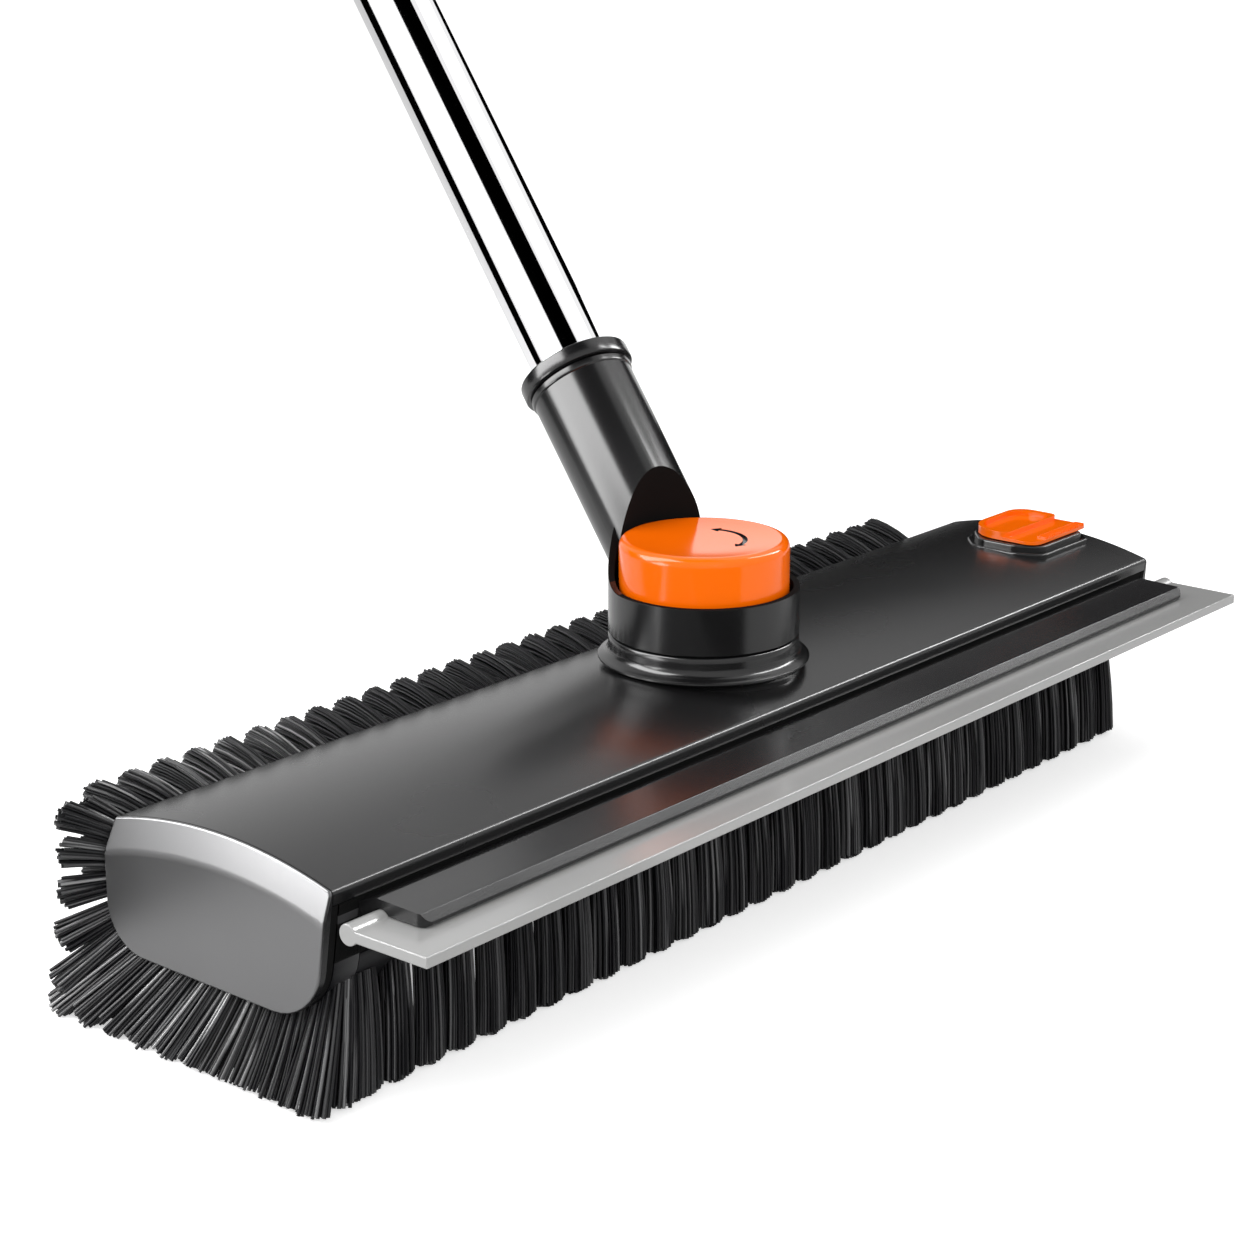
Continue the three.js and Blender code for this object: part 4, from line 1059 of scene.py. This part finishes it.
# The fan: each tuft has its place on the way from the back, under the head, to the front. A
# station is the share of the way, the root's y and z and the tip's y and z.
FAN_COUNT = 28
fan_strip = backing(BODY_LEFT_X, FAN_RIGHT_X, [((0, 0, CAP_TOP_Z - PLAY), (0, 0, 1))])
FAN_STATIONS = [
    (0, 43.9, 50.5, 57, 60.5), (0.3, 43.6, 36, 59.5, 28), (0.43, 41.8, 29.6, 62.5, 6),
    (0.45, 38.4, 26.2, 64, 0), (0.88, -18.5, 22.9, -24, 0), (0.94, -27.2, 25.4, -32, 0),
    (1, -32.4, 30.4, -39.5, 0),
]
FAN_BEHIND = [0.0, 0.107, 0.225, 0.335, 0.42]
FAN_BELOW = [0.46 + 0.054 * number for number in range(11)]
fan_rows = []
for share in FAN_BEHIND + FAN_BELOW:
    after = next(i for i in range(1, len(FAN_STATIONS)) if FAN_STATIONS[i][0] >= share)
    low, high = FAN_STATIONS[after - 1], FAN_STATIONS[after]
    part = (share - low[0]) / (high[0] - low[0])
    _, root_y, root_z, tip_y, tip_z = [a + (b - a) * part for a, b in zip(low, high)]
    behind = share in FAN_BEHIND
    outwards = Vector((0, tip_y - root_y, tip_z - root_z)).normalized()
    for root_x, tip_x in [(-195.3, -211.6), (-192, -204)]:
        fan_rows += tuft(
            (root_x, root_y, root_z), (tip_x, tip_y, tip_z), Vector((1, 0, 0)).cross(outwards),
            outwards * 1.5, (2.4, 1.8) if behind else (3, 1.8), (4.8, 3.2) if behind else (6, 3.2),
            FAN_COUNT, 2 if behind else 0.5,
        )
bristle_strip("bristle_fan_left_end", fan_strip, fan_rows, "bristles_left_end", 1)

# ---- Studio ----
# A white floor that runs off past the view and a white surround. Soft boxes stand at the left, at
# the right and in front. Black flags and white cards stand round the brush for reflections alone.
def facing(centre, towards, along):
    """The place of a card that faces a point, with its width along a direction."""
    out = (Vector(towards) - Vector(centre)).normalized()
    across = (Vector(along) - out * out.dot(Vector(along))).normalized()
    turn = Matrix((across, out.cross(across), out)).transposed().to_4x4()
    return Matrix.Translation(centre) @ turn


def card(name, centre, towards, along, width, height, glow=0):
    """A flag, or a card that glows, seen by reflections alone."""
    bm = bmesh.new()
    bmesh.ops.create_grid(bm, x_segments=1, y_segments=1, size=0.5)
    bm.transform(facing(centre, towards, along) @ Matrix.Diagonal((width, height, 1, 1)))
    mesh = bpy.data.meshes.new(name)
    bm.to_mesh(mesh)
    bm.free()
    piece = bpy.data.objects.new(name, mesh)
    bpy.context.scene.collection.objects.link(piece)
    cloth = bpy.data.materials.new(name)
    cloth.use_nodes = True
    cloth_shader = cloth.node_tree.nodes["Principled BSDF"]
    cloth_shader.inputs["Base Color"].default_value = (0, 0, 0, 1)
    cloth_shader.inputs["Specular IOR Level"].default_value = 0
    cloth_shader.inputs["Emission Color"].default_value = (1, 1, 1, 1)
    cloth_shader.inputs["Emission Strength"].default_value = glow
    mesh.materials.append(cloth)
    piece.visible_camera = False
    piece.visible_diffuse = False
    piece.visible_shadow = False
    piece.visible_transmission = False
    piece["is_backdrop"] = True


HEAD_MIDDLE = (0, 0, 0.07)
POLE_MIDDLE = (0.08, 0.35, 0.46)
card("flag_right", (1.21, 0.3, 0.32), HEAD_MIDDLE, (0, 1, 0), 1.4, 0.66)
card("flag_behind", (-0.23, 0.67, 0.18), (0.031, 0.132, 0.219), (-0.799, -0.352, 0.486), 0.27, 0.42)
card("flag_over_pole", (-0.2, -0.02, 0.87), POLE_MIDDLE, (0.876, -0.436, 0.207), 0.55, 0.55)
card("flag_on_floor", (-0.3, -0.33, 0.002), (-0.3, -0.33, 1), (1, 0, 0), 0.56, 0.5)
card("flag_left_end", (-0.362, 0.238, 0.002), (-0.362, 0.238, 1), (1, 0, 0), 0.27, 0.29)
card("card_left_end", (-0.62, 0.22, 0.06), (-0.205, -0.03, 0.055), (0.7, 0.7, 0), 0.28, 0.11, 12)
card("card_button", (0.111, 0.09, 0.149), (0, 0, 0.104), (0.59, -0.76, 0), 0.06, 0.04, 1.5)
card("card_left", (-0.43, 0.36, 0.48), (0.073, 0.31, 0.417), (0, -0.744, 0.668), 0.65, 0.5, 13)
card("card_right", (0.33, -0.03, 0.67), (0.073, 0.31, 0.417), (0.73, 0, 0.68), 0.49, 0.4, 1.6)
card("card_edges", (0.56, -0.32, 0.6), HEAD_MIDDLE, (0.85, 0.1, -0.3), 0.65, 0.12, 26)
card("card_collar", (-0.36, 0.12, 0.12), (0, 0, 0.08), (0.3, 0.95, 0), 0.05, 0.12, 12)


def softbox(name, place, towards, along, width, height, power):
    """A lamp that lights surfaces and leaves no reflection of its own."""
    lamp = bpy.data.lights.new(name, "AREA")
    lamp.shape = "RECTANGLE"
    lamp.size = width
    lamp.size_y = height
    lamp.energy = power
    holder = bpy.data.objects.new(name, lamp)
    holder.matrix_world = facing(place, towards, along) @ Matrix.Rotation(math.pi, 4, "X")
    holder.visible_camera = False
    holder.visible_glossy = False
    bpy.context.scene.collection.objects.link(holder)


softbox("softbox_left", (-0.42, 0.36, 0.48), (0, 0.1, 0.2), (0, -0.744, 0.668), 0.65, 0.5, 2.6)
softbox("softbox_right", (0.5, -0.1, 0.9), (0, 0, 0.1), (0.73, 0, 0.68), 0.6, 0.5, 2)
softbox("softbox_front", (-0.75, -0.85, 0.5), (-0.05, 0, 0.07), (0.7, -0.7, 0), 0.7, 0.6, 6)

floor_bm = bmesh.new()
bmesh.ops.create_grid(floor_bm, x_segments=1, y_segments=1, size=4)
floor_mesh = bpy.data.meshes.new("floor")
floor_bm.to_mesh(floor_mesh)
floor_bm.free()
floor = bpy.data.objects.new("floor", floor_mesh)
bpy.context.scene.collection.objects.link(floor)
paper = bpy.data.materials.new("white_paper")
paper.use_nodes = True
paper_nodes, paper_links = paper.node_tree.nodes, paper.node_tree.links
paper_shader = paper_nodes["Principled BSDF"]
paper_shader.inputs["Base Color"].default_value = (0.9, 0.9, 0.9, 1)
paper_shader.inputs["Roughness"].default_value = 0.9
paper_shader.inputs["Specular IOR Level"].default_value = 0.1
paper_shader.inputs["Emission Color"].default_value = (1, 1, 1, 1)
paper_rays = paper_nodes.new("ShaderNodeLightPath")
paper_glow = paper_nodes.new("ShaderNodeMapRange")
paper_glow.inputs["To Max"].default_value = 0.5
paper_links.new(paper_rays.outputs["Is Camera Ray"], paper_glow.inputs["Value"])
paper_links.new(paper_glow.outputs["Result"], paper_shader.inputs["Emission Strength"])
floor_mesh.materials.append(paper)
floor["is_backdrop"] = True

world = bpy.data.worlds.new("white_surround")
bpy.context.scene.world = world
world.use_nodes = True
world_nodes, world_links = world.node_tree.nodes, world.node_tree.links
surround = world_nodes["Background"]
surround.inputs["Color"].default_value = (1, 1, 1, 1)
rays = world_nodes.new("ShaderNodeLightPath")
seen = world_nodes.new("ShaderNodeMath")
seen.operation = "MAXIMUM"
seen_through = world_nodes.new("ShaderNodeMath")
seen_through.operation = "MAXIMUM"
strength = world_nodes.new("ShaderNodeMapRange")
strength.inputs["To Min"].default_value = 0.7
strength.inputs["To Max"].default_value = 1
world_links.new(rays.outputs["Is Camera Ray"], seen.inputs[0])
world_links.new(rays.outputs["Is Glossy Ray"], seen.inputs[1])
world_links.new(seen.outputs["Value"], seen_through.inputs[0])
world_links.new(rays.outputs["Is Transmission Ray"], seen_through.inputs[1])
world_links.new(seen_through.outputs["Value"], strength.inputs["Value"])
world_links.new(strength.outputs["Result"], surround.inputs["Strength"])

bpy.context.scene.view_settings.view_transform = "Standard"

# ---- Sizes ----
low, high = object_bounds()
